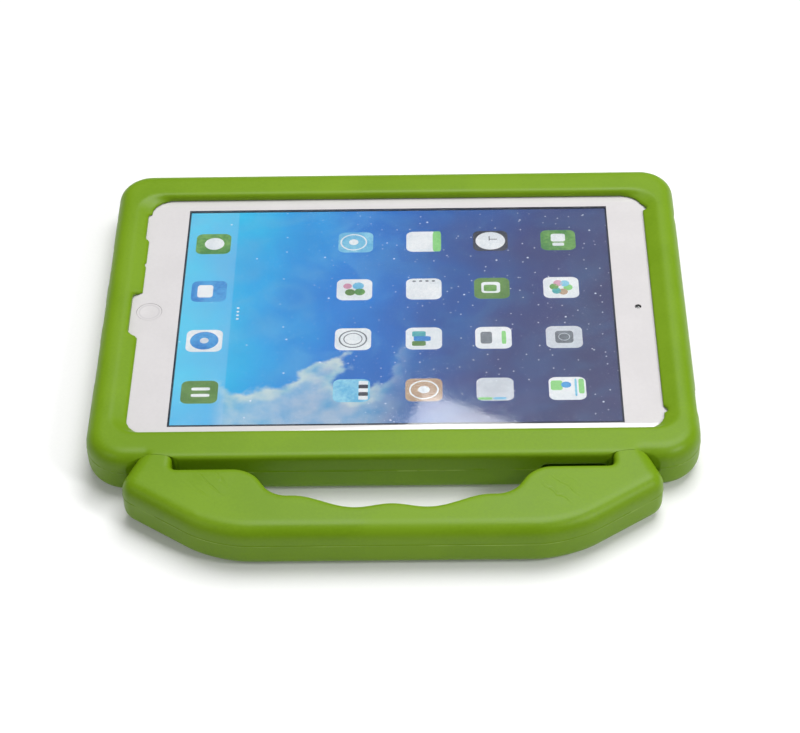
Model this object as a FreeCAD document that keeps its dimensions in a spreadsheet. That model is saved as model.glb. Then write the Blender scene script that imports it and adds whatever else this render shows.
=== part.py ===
import FreeCAD, Part

# A child's foam tablet case with a folding carry handle, lying on its back with a small tablet in it.
#
# Frame: X runs along the case's long side, Y across it with the handle towards -Y, and Z up out of
# the screen. The origin is under the middle of the whole object, on the face that it lies on. Each
# piece is drawn about the middle of the case, and its Placement moves it by half the handle's reach.
# All sizes are millimetres.
import math
import os
import re

import Sketcher

DOCUMENT = FreeCAD.newDocument("TabletCase")
SHEET = DOCUMENT.addObject("Spreadsheet::Sheet", "Sizes")

SIZES = {
    # Foam shell
    "case_length": 215.0,
    "case_width": 160.0,
    "case_height": 18.0,
    "case_corner": 12.5,
    "case_edge": 5.5,
    "back_wall": 7.5,
    "fit_gap": 0.3,
    "window_length": 188.4,
    "window_width": 130.0,
    "window_corner": 8.0,
    "lip_edge": 1.2,
    "lip_slope": 5.4,
    "button_notch_width": 20.0,
    "button_notch_depth": 3.3,
    "button_notch_corner": 2.5,
    "shoulder_end": 84.0,
    "shoulder_edge": 1.6,
    # Holes in the shell's walls
    "port_height": 3.2,
    "port_hole_height": 5.2,
    "wall_hole_corner": 2.4,
    "charger_hole_width": 16.0,
    "speaker_hole_width": 24.0,
    "speaker_middle": 27.0,
    "volume_hole_width": 23.0,
    "volume_hole_height": 4.6,
    "volume_hole_corner": 2.0,
    "sleep_hole_width": 14.0,
    "jack_hole_radius": 3.2,
    "camera_hole_radius": 6.5,
    # Handle
    "handle_reach": 35.6,
    "handle_half_length": 94.2,
    "handle_corner_depth": 11.8,
    "handle_corner": 7.0,
    "handle_bend_start": 60.0,
    "handle_bend": 38.0,
    "arm_inner": 76.0,
    "arm_outer": 90.4,
    "arm_straight": 2.5,
    "slot_gap": 4.6,
    "block_end": 48.5,
    "grip_end": 40.8,
    "grip_depth": 17.5,
    "grip_corner": 8.0,
    "groove_middle": 12.3,
    "groove_radius": 30.0,
    "groove_depth": 23.3,
    "crest_round": 10.0,
    # Hinge
    "hinge_depth": 4.8,
    "hinge_height": 4.6,
    "knuckle_radius": 4.6,
    "knuckle_gap": 0.3,
    "crease_depth": 1.5,
    "crease_gap": 0.25,
    "arm_side_gap": 0.4,
    "fold_angle": 115.0,
    "pin_radius": 1.5,
    "pin_length": 22.4,
    "pin_chamfer": 0.3,
    "running_gap": 0.05,
    "bond_gap": 0.05,
    "sleeve_radius": 2.3,
    "sleeve_proud": 0.15,
    "anchor_length": 5.0,
    # Tablet
    "tablet_length": 200.0,
    "tablet_width": 134.7,
    "tablet_height": 7.5,
    "tablet_corner": 10.0,
    "tablet_edge": 2.0,
    "tablet_wall": 1.2,
    "tablet_floor": 0.8,
    "rim_sunk": 0.2,
    "glass_height": 1.0,
    "glass_inset": 0.5,
    "glass_gap": 0.1,
    "display_length": 166.0,
    "display_width": 126.0,
    "display_height": 1.6,
    "cell_length": 62.0,
    "cell_width": 104.0,
    "cell_height": 3.4,
    "cell_middle": 32.0,
    "cell_corner": 3.0,
    "board_length": 18.0,
    "board_width": 96.0,
    "board_height": 1.0,
    "board_middle": 75.0,
    "chip_size": 13.0,
    "chip_height": 1.4,
    "chip_pitch": 30.0,
    "speaker_length": 9.0,
    "speaker_height": 3.4,
    "speaker_width": 22.0,
    "speaker_slot": 1.4,
    "speaker_slot_width": 18.0,
    "socket_length": 7.0,
    "socket_width": 9.0,
    "socket_height": 3.2,
    "socket_mouth_width": 6.8,
    "socket_mouth_height": 1.6,
    "socket_wall": 0.7,
    "jack_radius": 2.3,
    "jack_bore": 1.75,
    "jack_length": 12.0,
    "jack_y": 53.0,
    # Home button and cameras
    "home_middle": 90.4,
    "home_radius": 4.6,
    "home_gap": 0.12,
    "home_sunk": 0.05,
    "home_height": 1.35,
    "home_rim": 0.7,
    "home_dish": 0.25,
    "home_flange": 0.7,
    "home_flange_height": 0.3,
    "dome_radius": 3.0,
    "dome_height": 0.85,
    "dome_edge": 0.34,
    "lens_middle": 89.7,
    "front_lens_radius": 1.5,
    "front_camera_size": 6.0,
    "front_camera_height": 2.6,
    "front_lens_height": 0.6,
    "rear_camera_x": 90.0,
    "rear_camera_y": 56.8,
    "rear_camera_size": 8.4,
    "rear_camera_height": 3.4,
    "rear_barrel_radius": 2.6,
    "rear_lens_radius": 3.0,
    "rear_lens_height": 0.6,
    # Side keys
    "key_height": 3.75,
    "key_width": 2.2,
    "key_proud": 0.28,
    "key_gap": 0.12,
    "key_flange": 0.6,
    "key_flange_depth": 0.7,
    "switch_length": 5.4,
    "switch_height": 3.0,
    "switch_depth": 1.6,
    "switch_gap": 0.35,
    "long_key": 9.0,
    "mute_key": 3.4,
    "mute_travel": 1.4,
    "volume_up_x": 68.0,
    "volume_down_x": 57.0,
    "mute_x": 80.0,
    "sleep_y": 50.0,
}

# Places that several pieces share, with lengths from the middle of the case and heights from the face
# that it lies on. PAST is how far a cut runs past a face, and TINY and CLOSE are tolerances.
NEAR_SIDE = "( -case_width / 2 )"
GLASS_TOP = "( back_wall + tablet_height )"
GLASS_BOTTOM = "( back_wall + tablet_height - glass_height )"
INSIDE_FLOOR = "( back_wall + tablet_floor )"
PORT_Z = "( back_wall + port_height )"
KEY_Z = "( back_wall + key_height )"
HINGE_Y = "( -case_width / 2 + hinge_depth )"
CREASE_Y = "( -case_width / 2 + crease_depth )"
ARM_MIDDLE = "( ( arm_inner + arm_outer ) / 2 )"
NOTCH_WIDTH = "( arm_outer - arm_inner + 2 * arm_side_gap )"
PAST = "2"
TINY = 0.01
CLOSE = 0.05
SIDES = (("left", "-1"), ("right", "1"))


# ---------------------------------------------------------------- the sheet and its expressions


def fill_sheet():
    """Writes each driving dimension beside its name and gives its cell that name."""
    for row, (alias, number) in enumerate(SIZES.items(), start=1):
        SHEET.set(f"A{row}", alias)
        SHEET.set(f"B{row}", str(number))
        SHEET.setAlias(f"B{row}", alias)
    DOCUMENT.recompute()


def cells(expression):
    """The expression with the sheet's name before each name that the sheet holds."""

    def in_sheet(match):
        return "Sizes." + match.group() if match.group() in SIZES else match.group()

    return re.sub(r"[a-z_]+", in_sheet, expression)


def value(expression):
    """What an expression in the sheet's names comes to, as a number."""
    return float(SHEET.evalExpression(cells(expression)))


def bind(item, prop, expression):
    """Ties a property to an expression in the sheet's names."""
    item.setExpression(prop, cells(expression))


# ---------------------------------------------------------------- bodies, sketches and features


def new_body(label):
    """A PartDesign body for one piece, standing in the row frame."""
    body = DOCUMENT.addObject("PartDesign::Body", label)
    body.Label = label
    bind(body, "Placement.Base.y", "handle_reach / 2")
    return body


def new_sketch(body, name, role, offset="0"):
    """A sketch on one of the body's own origin planes, moved along that plane's normal."""
    sketch = body.newObject("Sketcher::SketchObject", name)
    origin_plane = next(item for item in body.Origin.OriginFeatures if item.Role == role)
    sketch.AttachmentSupport = [(origin_plane, "")]
    sketch.MapMode = "FlatFace"
    bind(sketch, "AttachmentOffset.Base.z", offset)
    return sketch


def hold(sketch, kind, *where_and_expression):
    """Adds a dimension to a sketch and ties it to an expression."""
    *where, expression = where_and_expression
    index = sketch.addConstraint(Sketcher.Constraint(kind, *where, value(expression)))
    bind(sketch, f"Constraints[{index}]", expression)


def hold_point(sketch, geometry, point, x, y):
    """Holds a point at x, y, on the sketch's axis where that is 0."""
    for axis, kind, expression in ((-2, "DistanceX", x), (-1, "DistanceY", y)):
        if expression == "0":
            sketch.addConstraint(Sketcher.Constraint("PointOnObject", geometry, point, axis))
        else:
            hold(sketch, kind, -1, 1, geometry, point, expression)


def draw_circle(sketch, radius, x="0", y="0"):
    """A circle about x, y."""
    centre = FreeCAD.Vector(value(x), value(y), 0)
    circle = sketch.addGeometry(Part.Circle(centre, FreeCAD.Vector(0, 0, 1), value(radius)))
    hold(sketch, "Radius", circle, radius)
    hold_point(sketch, circle, 3, x, y)


def draw_outline(sketch, points):
    """A closed outline of straight sides through points, each a pair of expressions."""
    places = [FreeCAD.Vector(value(x), value(y), 0) for x, y in points]
    ends = zip(places, places[1:] + places[:1])
    sides = [sketch.addGeometry(Part.LineSegment(start, end)) for start, end in ends]
    for side, after in zip(sides, sides[1:] + sides[:1]):
        sketch.addConstraint(Sketcher.Constraint("Coincident", side, 2, after, 1))
    for side, (x, y) in zip(sides, points):
        hold_point(sketch, side, 1, x, y)


def draw_box(sketch, length, width, x="0", y="0"):
    """A rectangle of a length and a width about x, y."""
    left, right = f"{x} - {length} / 2", f"{x} + {length} / 2"
    low, high = f"{y} - {width} / 2", f"{y} + {width} / 2"
    draw_outline(sketch, [(left, low), (right, low), (right, high), (left, high)])


def draw_rounded_box(sketch, length, width, radius, x="0", y="0"):
    """A rectangle about x, y with four equal round corners."""
    round_by = value(radius)
    reach = FreeCAD.Vector(value(length) / 2 - round_by, value(width) / 2 - round_by, 0)
    middle = FreeCAD.Vector(value(x), value(y), 0)
    arcs = []
    for turn, (across, along) in enumerate(((1, -1), (1, 1), (-1, 1), (-1, -1))):
        centre = middle + FreeCAD.Vector(across * reach.x, along * reach.y, 0)
        circle = Part.Circle(centre, FreeCAD.Vector(0, 0, 1), round_by)
        start = (turn - 1) * math.pi / 2
        arcs.append(sketch.addGeometry(Part.ArcOfCircle(circle, start, start + math.pi / 2)))
    sides = []
    for arc, after in zip(arcs, arcs[1:] + arcs[:1]):
        line = Part.LineSegment(sketch.getPoint(arc, 2), sketch.getPoint(after, 1))
        side = sketch.addGeometry(line)
        sketch.addConstraint(Sketcher.Constraint("Tangent", arc, 2, side, 1))
        sketch.addConstraint(Sketcher.Constraint("Tangent", side, 2, after, 1))
        sides.append(side)
    for turn, side in enumerate(sides):
        sketch.addConstraint(Sketcher.Constraint("Horizontal" if turn % 2 else "Vertical", side))
    for arc in arcs[1:]:
        sketch.addConstraint(Sketcher.Constraint("Equal", arcs[0], arc))
    hold(sketch, "Radius", arcs[0], radius)
    hold(sketch, "DistanceX", -1, 1, sides[0], 1, f"{x} + {length} / 2")
    hold(sketch, "DistanceX", -1, 1, sides[2], 1, f"{x} - {length} / 2")
    hold(sketch, "DistanceY", -1, 1, sides[1], 1, f"{y} + {width} / 2")
    hold(sketch, "DistanceY", -1, 1, sides[3], 1, f"{y} - {width} / 2")


def pad(body, sketch, length, both_ways=False):
    """Extrudes a sketch along its normal, or half of the length each way."""
    feature = body.newObject("PartDesign::Pad", sketch.Name + "Pad")
    feature.Profile = sketch
    feature.Midplane = both_ways
    bind(feature, "Length", length)
    return feature


def pocket(body, sketch, depth, both_ways=False, along_normal=False):
    """Cuts a sketch into the body, against its normal unless told otherwise, and checks the cut."""
    DOCUMENT.recompute()
    before = body.Shape.Volume
    feature = body.newObject("PartDesign::Pocket", sketch.Name + "Pocket")
    feature.Profile = sketch
    feature.Midplane = both_ways
    feature.Reversed = along_normal
    bind(feature, "Length", depth)
    DOCUMENT.recompute()
    if not body.Shape.Volume < before - TINY:
        raise ValueError(f"{feature.Name} cuts nothing")
    return feature


def revolve(body, sketch):
    """Turns a sketch once round its own upright axis."""
    feature = body.newObject("PartDesign::Revolution", sketch.Name + "Turned")
    feature.Profile = sketch
    feature.ReferenceAxis = (sketch, ["V_Axis"])
    feature.Angle = 360
    return feature


def dress_edges(body, kind, name, by, chosen):
    """Rounds or chamfers the edges of the body's last feature that the test picks."""
    DOCUMENT.recompute()
    base = body.Tip
    picked = [f"Edge{i}" for i, edge in enumerate(base.Shape.Edges, start=1) if chosen(edge)]
    if not picked:
        raise ValueError(f"{name} finds no edge")
    feature = body.newObject(f"PartDesign::{kind}", name)
    feature.Base = (base, picked)
    bind(feature, "Radius" if kind == "Fillet" else "Size", by)
    DOCUMENT.recompute()
    return feature


def stands_at(edge, x, y):
    """Whether an edge stands upright at x on either side of the middle, and at y."""
    box = edge.BoundBox
    upright = box.ZLength > 1 and box.XLength < TINY and box.YLength < TINY
    return upright and abs(abs(box.Center.x) - abs(x)) < CLOSE and abs(box.Center.y - y) < CLOSE


def lies_at(edge, height):
    """Whether an edge lies level at a height."""
    box = edge.BoundBox
    return box.ZLength < TINY and abs(box.ZMin - height) < TINY


def is_round(edge):
    """Whether an edge goes round an axis along X."""
    return edge.BoundBox.XLength < TINY


# ---------------------------------------------------------------- the foam case


def cut_window(body):
    """The tablet's space, the window over its screen, the sloped end lips and the button's notch."""
    depth = f"case_height - {GLASS_TOP} + {PAST}"
    space = new_sketch(body, "TabletSpace", "XY_Plane", GLASS_TOP)
    length, width = "( tablet_length + 2 * fit_gap )", "( tablet_width + 2 * fit_gap )"
    draw_rounded_box(space, length, width, "tablet_corner + fit_gap")
    pocket(body, space, "tablet_height")
    window = new_sketch(body, "Window", "XY_Plane", "case_height")
    draw_rounded_box(window, "window_length", "window_width", "window_corner")
    pocket(body, window, depth)
    slopes = new_sketch(body, "LipSlopes", "XZ_Plane")
    edge, fold = "window_length / 2", "window_length / 2 + lip_slope"
    lip = f"{GLASS_TOP} + lip_edge"
    points = [(f"-( {edge} )", lip), (edge, lip), (fold, "case_height"), (f"-( {fold} )", "case_height")]
    draw_outline(slopes, points)
    pocket(body, slopes, "window_width - window_corner", both_ways=True)
    notch = new_sketch(body, "ButtonNotch", "XY_Plane", "case_height")
    across = "( 2 * button_notch_depth )"
    draw_rounded_box(notch, across, "button_notch_width", "button_notch_corner", f"-( {edge} )", "0")
    pocket(body, notch, depth)


def cut_wall_holes(body):
    """The holes for the charger, speakers, volume keys, sleep key, headphones and rear camera."""
    end_depth = f"( case_length - tablet_length ) / 2 + {PAST}"
    charger = ("ChargerHole", "charger_hole_width", "0")
    far_speaker = ("FarSpeakerHole", "speaker_hole_width", "speaker_middle")
    near_speaker = ("NearSpeakerHole", "speaker_hole_width", "-speaker_middle")
    for name, width, middle in (charger, far_speaker, near_speaker):
        hole = new_sketch(body, name, "YZ_Plane", f"-tablet_length / 2 + {PAST} / 2")
        draw_rounded_box(hole, width, "port_hole_height", "wall_hole_corner", middle, PORT_Z)
        pocket(body, hole, end_depth)
    outside = f"case_length / 2 + {PAST} / 2"
    sleep = new_sketch(body, "SleepHole", "YZ_Plane", outside)
    height, corner = "port_hole_height", "wall_hole_corner"
    draw_rounded_box(sleep, "sleep_hole_width", height, corner, "-sleep_y", KEY_Z)
    pocket(body, sleep, end_depth)
    jack = new_sketch(body, "JackHole", "YZ_Plane", outside)
    draw_circle(jack, "jack_hole_radius", "jack_y", PORT_Z)
    pocket(body, jack, end_depth)
    volume = new_sketch(body, "VolumeHole", "XZ_Plane", f"tablet_width / 2 - {PAST} / 2")
    middle = "( volume_up_x + volume_down_x ) / 2"
    height, corner = "volume_hole_height", "volume_hole_corner"
    draw_rounded_box(volume, "volume_hole_width", height, corner, middle, PORT_Z)
    side_depth = f"( case_width - tablet_width ) / 2 + {PAST}"
    pocket(body, volume, side_depth, along_normal=True)
    camera = new_sketch(body, "CameraHole", "XY_Plane", f"back_wall + {PAST} / 2")
    draw_circle(camera, "camera_hole_radius", "rear_camera_x", "-rear_camera_y")
    pocket(body, camera, f"back_wall + {PAST}")


def cut_hinge_notches(body):
    """The two notches for the handle's arms, open to the near side and to the back.

    Their inner wall leans by what the handle folds past square, and the arm comes to rest on it.
    """
    reach = "( knuckle_radius + knuckle_gap )"
    lean = "( ( fold_angle - 90 ) * 1 deg )"
    touch_y, touch_z = f"{HINGE_Y} + {reach} * cos({lean})", f"hinge_height + {reach} * sin({lean})"
    foot_z = f"( -{PAST} )"
    drop = f"( hinge_height - {foot_z} )"
    foot_y = f"{HINGE_Y} + ( {reach} + {drop} * sin({lean}) ) / cos({lean})"
    above = f"case_height + {PAST}"
    outline = [
        (f"{NEAR_SIDE} - {PAST}", foot_z),
        (foot_y, foot_z),
        (touch_y, touch_z),
        (HINGE_Y, touch_z),
        (HINGE_Y, f"hinge_height + {reach}"),
        (CREASE_Y, f"hinge_height + {reach}"),
        (CREASE_Y, above),
        (f"{NEAR_SIDE} - {PAST}", above),
    ]
    for side, sign in SIDES:
        middle = f"{sign} * {ARM_MIDDLE}"
        notch = new_sketch(body, side + "_notch", "YZ_Plane", middle)
        draw_outline(notch, outline)
        pocket(body, notch, NOTCH_WIDTH, both_ways=True)
        bowl = new_sketch(body, side + "_bowl", "YZ_Plane", middle)
        draw_circle(bowl, reach, HINGE_Y, "hinge_height")
        pocket(body, bowl, NOTCH_WIDTH, both_ways=True)
        bores = new_sketch(body, side + "_bores", "YZ_Plane", middle)
        draw_circle(bores, "sleeve_radius + bond_gap", HINGE_Y, "hinge_height")
        pocket(body, bores, f"{NOTCH_WIDTH} + 2 * anchor_length", both_ways=True)


def make_case_shell():
    """The moulded foam shell: a thick tray with a lip over the tablet's edge all round the screen."""
    body = new_body("case_shell")
    outline = new_sketch(body, "ShellOutline", "XY_Plane")
    draw_rounded_box(outline, "case_length", "case_width", "case_corner")
    pad(body, outline, "case_height")
    height = value("case_height")

    def rims(edge):
        return lies_at(edge, 0) or lies_at(edge, height)

    dress_edges(body, "Fillet", "ShellEdges", "case_edge", rims)
    # The near shoulder stays nearly square along the hand's gap, the slots and the arms.
    shoulder = new_sketch(body, "NearShoulder", "YZ_Plane")
    points = [
        (NEAR_SIDE, "case_height / 2"),
        (f"{NEAR_SIDE} + 2 * case_edge", "case_height / 2"),
        (f"{NEAR_SIDE} + 2 * case_edge", "case_height"),
        (f"{NEAR_SIDE} + shoulder_edge", "case_height"),
        (NEAR_SIDE, "case_height - shoulder_edge"),
    ]
    draw_outline(shoulder, points)
    pad(body, shoulder, "2 * shoulder_end", both_ways=True)
    cut_window(body)
    cut_wall_holes(body)
    cut_hinge_notches(body)


def draw_handle(body):
    """The handle's plan: an outer edge of three runs, two end blocks, two arms and the grip."""
    end_face = f"{CREASE_Y} - crease_gap"
    block, grip = f"{NEAR_SIDE} - slot_gap", f"{NEAR_SIDE} - grip_depth"
    right = [
        ("handle_bend_start", f"{NEAR_SIDE} - handle_reach"),
        ("handle_half_length", f"{NEAR_SIDE} - handle_corner_depth"),
        ("arm_outer", f"{NEAR_SIDE} - arm_straight"),
        ("arm_outer", end_face),
        ("arm_inner", end_face),
        ("arm_inner", block),
        ("block_end", block),
        ("grip_end", grip),
    ]
    left = [("-" + x, y) for x, y in reversed(right)]
    outline = new_sketch(body, "HandleOutline", "XY_Plane")
    draw_outline(outline, right + left)
    pad(body, outline, "case_height")


def round_handle(body):
    """Rounds the handle's corners in plan, then the edges of its outer side and of its grip."""
    corners = (
        ("OuterCorners", "handle_corner", "handle_half_length", f"{NEAR_SIDE} - handle_corner_depth"),
        ("Bends", "handle_bend", "handle_bend_start", f"{NEAR_SIDE} - handle_reach"),
        ("GripCorners", "grip_corner", "grip_end", f"{NEAR_SIDE} - grip_depth"),
    )
    for name, radius, x, y in corners:
        across, along = value(x), value(y)
        dress_edges(body, "Fillet", name, radius, lambda edge: stands_at(edge, across, along))
    for side, sign in SIDES:
        groove = new_sketch(body, side + "_groove", "XY_Plane", "case_height")
        middle = f"{NEAR_SIDE} - groove_depth + groove_radius"
        draw_circle(groove, "groove_radius", f"{sign} * groove_middle", middle)
        pocket(body, groove, "case_height")
    inside = value("grip_end") - value("grip_corner")
    beyond = value(f"{NEAR_SIDE} - grip_depth") + 1
    height, block = value("case_height"), value(f"{NEAR_SIDE} - slot_gap") - CLOSE
    arm = value("arm_outer") - CLOSE

    def crests(edge):
        box = edge.BoundBox
        tall = box.ZLength > 1 and box.XLength < TINY
        return tall and abs(box.Center.x) < inside and box.Center.y < beyond

    def round_over(edge):
        box = edge.BoundBox
        beside = box.YMin < block or abs(box.Center.x) > arm
        return (lies_at(edge, 0) or lies_at(edge, height)) and beside

    dress_edges(body, "Fillet", "Crests", "crest_round", crests)
    dress_edges(body, "Fillet", "HandleEdges", "case_edge", round_over)


def make_handle():
    """The foam handle: a grip bar, two end blocks and two arms that end in the hinge knuckles."""
    body = new_body("handle")
    draw_handle(body)
    round_handle(body)
    overlap = 1
    for side, sign in SIDES:
        middle = f"{sign} * {ARM_MIDDLE}"
        root = new_sketch(body, side + "_root", "YZ_Plane", middle)
        inner, outer = HINGE_Y, f"{CREASE_Y} - crease_gap - {overlap}"
        top = "hinge_height + knuckle_radius"
        bottom = "hinge_height - knuckle_radius"
        draw_outline(root, [(outer, bottom), (inner, bottom), (inner, top), (outer, top)])
        pad(body, root, "arm_outer - arm_inner", both_ways=True)
        knuckle = new_sketch(body, side + "_knuckle", "YZ_Plane", middle)
        draw_circle(knuckle, "knuckle_radius", HINGE_Y, "hinge_height")
        pad(body, knuckle, "arm_outer - arm_inner", both_ways=True)
        bore = new_sketch(body, side + "_bore", "YZ_Plane", middle)
        draw_circle(bore, "sleeve_radius + bond_gap", HINGE_Y, "hinge_height")
        pocket(body, bore, f"arm_outer - arm_inner + {PAST}", both_ways=True)


# ---------------------------------------------------------------- the hinge's hard parts


def make_tube(label, length, middle, bore="pin_radius + running_gap"):
    """A plastic tube on the hinge axis."""
    body = new_body(label)
    ring = new_sketch(body, label + "_ring", "YZ_Plane", middle)
    draw_circle(ring, "sleeve_radius", HINGE_Y, "hinge_height")
    draw_circle(ring, bore, HINGE_Y, "hinge_height")
    pad(body, ring, length, both_ways=True)


def make_hinges():
    """For each arm a steel pin, the sleeve bonded in the knuckle and two anchors in the shell."""
    for side, sign in SIDES:
        middle = f"{sign} * {ARM_MIDDLE}"
        pin = new_body(f"hinge_pin_{side}")
        section = new_sketch(pin, side + "_pin", "YZ_Plane", middle)
        draw_circle(section, "pin_radius", HINGE_Y, "hinge_height")
        pad(pin, section, "pin_length", both_ways=True)
        dress_edges(pin, "Chamfer", side + "_pin_ends", "pin_chamfer", is_round)
        make_tube(f"knuckle_sleeve_{side}", "arm_outer - arm_inner + 2 * sleeve_proud", middle)
        inner = f"{sign} * ( arm_inner - arm_side_gap - anchor_length / 2 )"
        outer = f"{sign} * ( arm_outer + arm_side_gap + anchor_length / 2 )"
        make_tube(f"hinge_anchor_{side}_inner", "anchor_length", inner)
        make_tube(f"hinge_anchor_{side}_outer", "anchor_length", outer)


# ---------------------------------------------------------------- the tablet's outside


def cut_housing_slots(body):
    """The slots and holes in the housing for its keys, sockets, speakers and rear camera."""
    depth = f"tablet_wall + {PAST}"
    near = f"tablet_width / 2 + {PAST} / 2"
    length, width = "( long_key + 2 * key_gap )", "( key_width + 2 * key_gap )"
    mute = "( mute_key + mute_travel + 2 * key_gap )"
    along = (
        ("VolumeUpSlot", length, "volume_up_x"),
        ("VolumeDownSlot", length, "volume_down_x"),
        ("MuteSlot", mute, "mute_x + mute_travel / 2"),
    )
    for name, opening, middle in along:
        slot = new_sketch(body, name, "XZ_Plane", near)
        draw_box(slot, opening, width, middle, KEY_Z)
        pocket(body, slot, depth)
    right, left = f"tablet_length / 2 + {PAST} / 2", f"-tablet_length / 2 - {PAST} / 2"
    sleep = new_sketch(body, "SleepSlot", "YZ_Plane", right)
    draw_box(sleep, length, width, "-sleep_y", KEY_Z)
    pocket(body, sleep, depth)
    jack = new_sketch(body, "JackBore", "YZ_Plane", right)
    draw_circle(jack, "jack_bore", "jack_y", PORT_Z)
    pocket(body, jack, depth)
    mouths = (
        ("SocketMouth", "socket_mouth_width", "socket_mouth_height", "0"),
        ("FarSpeakerSlot", "speaker_slot_width", "speaker_slot", "speaker_middle"),
        ("NearSpeakerSlot", "speaker_slot_width", "speaker_slot", "-speaker_middle"),
    )
    for name, across, high, middle in mouths:
        mouth = new_sketch(body, name, "YZ_Plane", left)
        draw_box(mouth, across, high, middle, PORT_Z)
        pocket(body, mouth, depth, along_normal=True)
    camera = new_sketch(body, "CameraBore", "XY_Plane", f"{INSIDE_FLOOR} + {PAST} / 2")
    draw_circle(camera, "rear_lens_radius + glass_gap", "rear_camera_x", "-rear_camera_y")
    pocket(body, camera, f"tablet_floor + {PAST}")


def make_housing():
    """The tablet's one-piece metal back, hollow, with a ledge that the glass is bonded on."""
    body = new_body("tablet_housing")
    outline = new_sketch(body, "HousingOutline", "XY_Plane", "back_wall")
    draw_rounded_box(outline, "tablet_length", "tablet_width", "tablet_corner")
    pad(body, outline, "tablet_height - rim_sunk")
    foot = value("back_wall")
    dress_edges(body, "Fillet", "HousingEdge", "tablet_edge", lambda edge: lies_at(edge, foot))
    top = f"{GLASS_TOP} - rim_sunk"
    seat = new_sketch(body, "GlassSeat", "XY_Plane", top)
    play = "2 * ( glass_inset - glass_gap )"
    length, width = f"( tablet_length - {play} )", f"( tablet_width - {play} )"
    draw_rounded_box(seat, length, width, "tablet_corner - glass_inset + glass_gap")
    pocket(body, seat, "glass_height - rim_sunk")
    inside = new_sketch(body, "HousingInside", "XY_Plane", top)
    length, width = "( tablet_length - 2 * tablet_wall )", "( tablet_width - 2 * tablet_wall )"
    draw_rounded_box(inside, length, width, "tablet_corner - tablet_wall")
    pocket(body, inside, "tablet_height - rim_sunk - tablet_floor")
    cut_housing_slots(body)


def make_glass():
    """The touch glass over the whole front, with the home button's hole."""
    body = new_body("front_glass")
    outline = new_sketch(body, "GlassOutline", "XY_Plane", GLASS_BOTTOM)
    length, width = "( tablet_length - 2 * glass_inset )", "( tablet_width - 2 * glass_inset )"
    draw_rounded_box(outline, length, width, "tablet_corner - glass_inset")
    pad(body, outline, "glass_height")
    hole = new_sketch(body, "HomeHole", "XY_Plane", GLASS_TOP)
    draw_circle(hole, "home_radius + home_gap", "-home_middle", "0")
    pocket(body, hole, "glass_height")


def make_home_button():
    """The dished home button, with a flange under the glass, and the dome switch beneath it."""
    body = new_body("home_button")
    bind(body, "Placement.Base.x", "-home_middle")
    profile = new_sketch(body, "ButtonProfile", "XZ_Plane")
    top, rim = f"{GLASS_TOP} - home_sunk", "home_radius - home_rim"
    bottom = f"{GLASS_TOP} - home_sunk - home_height"
    points = [
        ("0", f"{top} - home_dish"),
        (rim, top),
        ("home_radius", top),
        ("home_radius", f"{bottom} + home_flange_height"),
        ("home_radius + home_flange", f"{bottom} + home_flange_height"),
        ("home_radius + home_flange", bottom),
        ("0", bottom),
    ]
    draw_outline(profile, points)
    revolve(body, profile)
    switch = new_body("home_switch")
    dome = new_sketch(switch, "Dome", "XY_Plane", f"{PORT_Z} + socket_height / 2")
    draw_circle(dome, "dome_radius", "-home_middle", "0")
    pad(switch, dome, "dome_height")
    top = value(f"{PORT_Z} + socket_height / 2 + dome_height")
    dress_edges(switch, "Fillet", "DomeEdge", "dome_edge", lambda edge: lies_at(edge, top))


def make_key(name, length, role, middle, face, inward):
    """A side key: its cap through the wall, and a flange inside that keeps it in.

    The sketch planes' normals differ, so inward is 1 where the housing lies along the normal.
    """
    body = new_body(name)
    cap = new_sketch(body, name + "_cap", role, f"{face} - {inward} * key_proud")
    draw_box(cap, length, "key_width", middle, KEY_Z)
    feature = pad(body, cap, "key_proud + tablet_wall + key_flange_depth")
    feature.Reversed = inward < 0
    flange = new_sketch(body, name + "_flange", role, f"{face} + {inward} * tablet_wall")
    wide, high = f"( {length} + 2 * key_flange )", "( key_width + 2 * key_flange )"
    draw_box(flange, wide, high, middle, KEY_Z)
    feature = pad(body, flange, "key_flange_depth")
    feature.Reversed = inward < 0


def make_key_switch(name, role, middle, face, inward):
    """The small switch that a side key presses."""
    body = new_body(name)
    start = f"{face} + {inward} * ( tablet_wall + key_flange_depth + switch_gap )"
    block = new_sketch(body, name + "_block", role, start)
    draw_box(block, "switch_length", "switch_height", middle, KEY_Z)
    feature = pad(body, block, "switch_depth")
    feature.Reversed = inward < 0


def make_side_keys():
    """The volume keys and the mute slider in the near side, and the sleep key in the right end."""
    near, right = "( tablet_width / 2 )", "( tablet_length / 2 )"
    for name, middle in (("volume_up", "volume_up_x"), ("volume_down", "volume_down_x")):
        make_key(name + "_key", "long_key", "XZ_Plane", middle, near, -1)
        make_key_switch(name + "_switch", "XZ_Plane", middle, near, -1)
    make_key("sleep_key", "long_key", "YZ_Plane", "-sleep_y", right, -1)
    make_key_switch("sleep_switch", "YZ_Plane", "-sleep_y", right, -1)
    make_key("mute_slider", "mute_key", "XZ_Plane", "mute_x", near, -1)
    make_key_switch("mute_switch", "XZ_Plane", "mute_x", near, -1)


# ---------------------------------------------------------------- the tablet's inside


def make_slab(label, length, width, height, x="0", y="0", z=INSIDE_FLOOR, corner=None):
    """A flat part: its middle in plan, and the height that it stands on."""
    body = new_body(label)
    outline = new_sketch(body, label + "_outline", "XY_Plane", z)
    if corner:
        draw_rounded_box(outline, length, width, corner, x, y)
    else:
        draw_box(outline, length, width, x, y)
    pad(body, outline, height)
    return body


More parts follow.
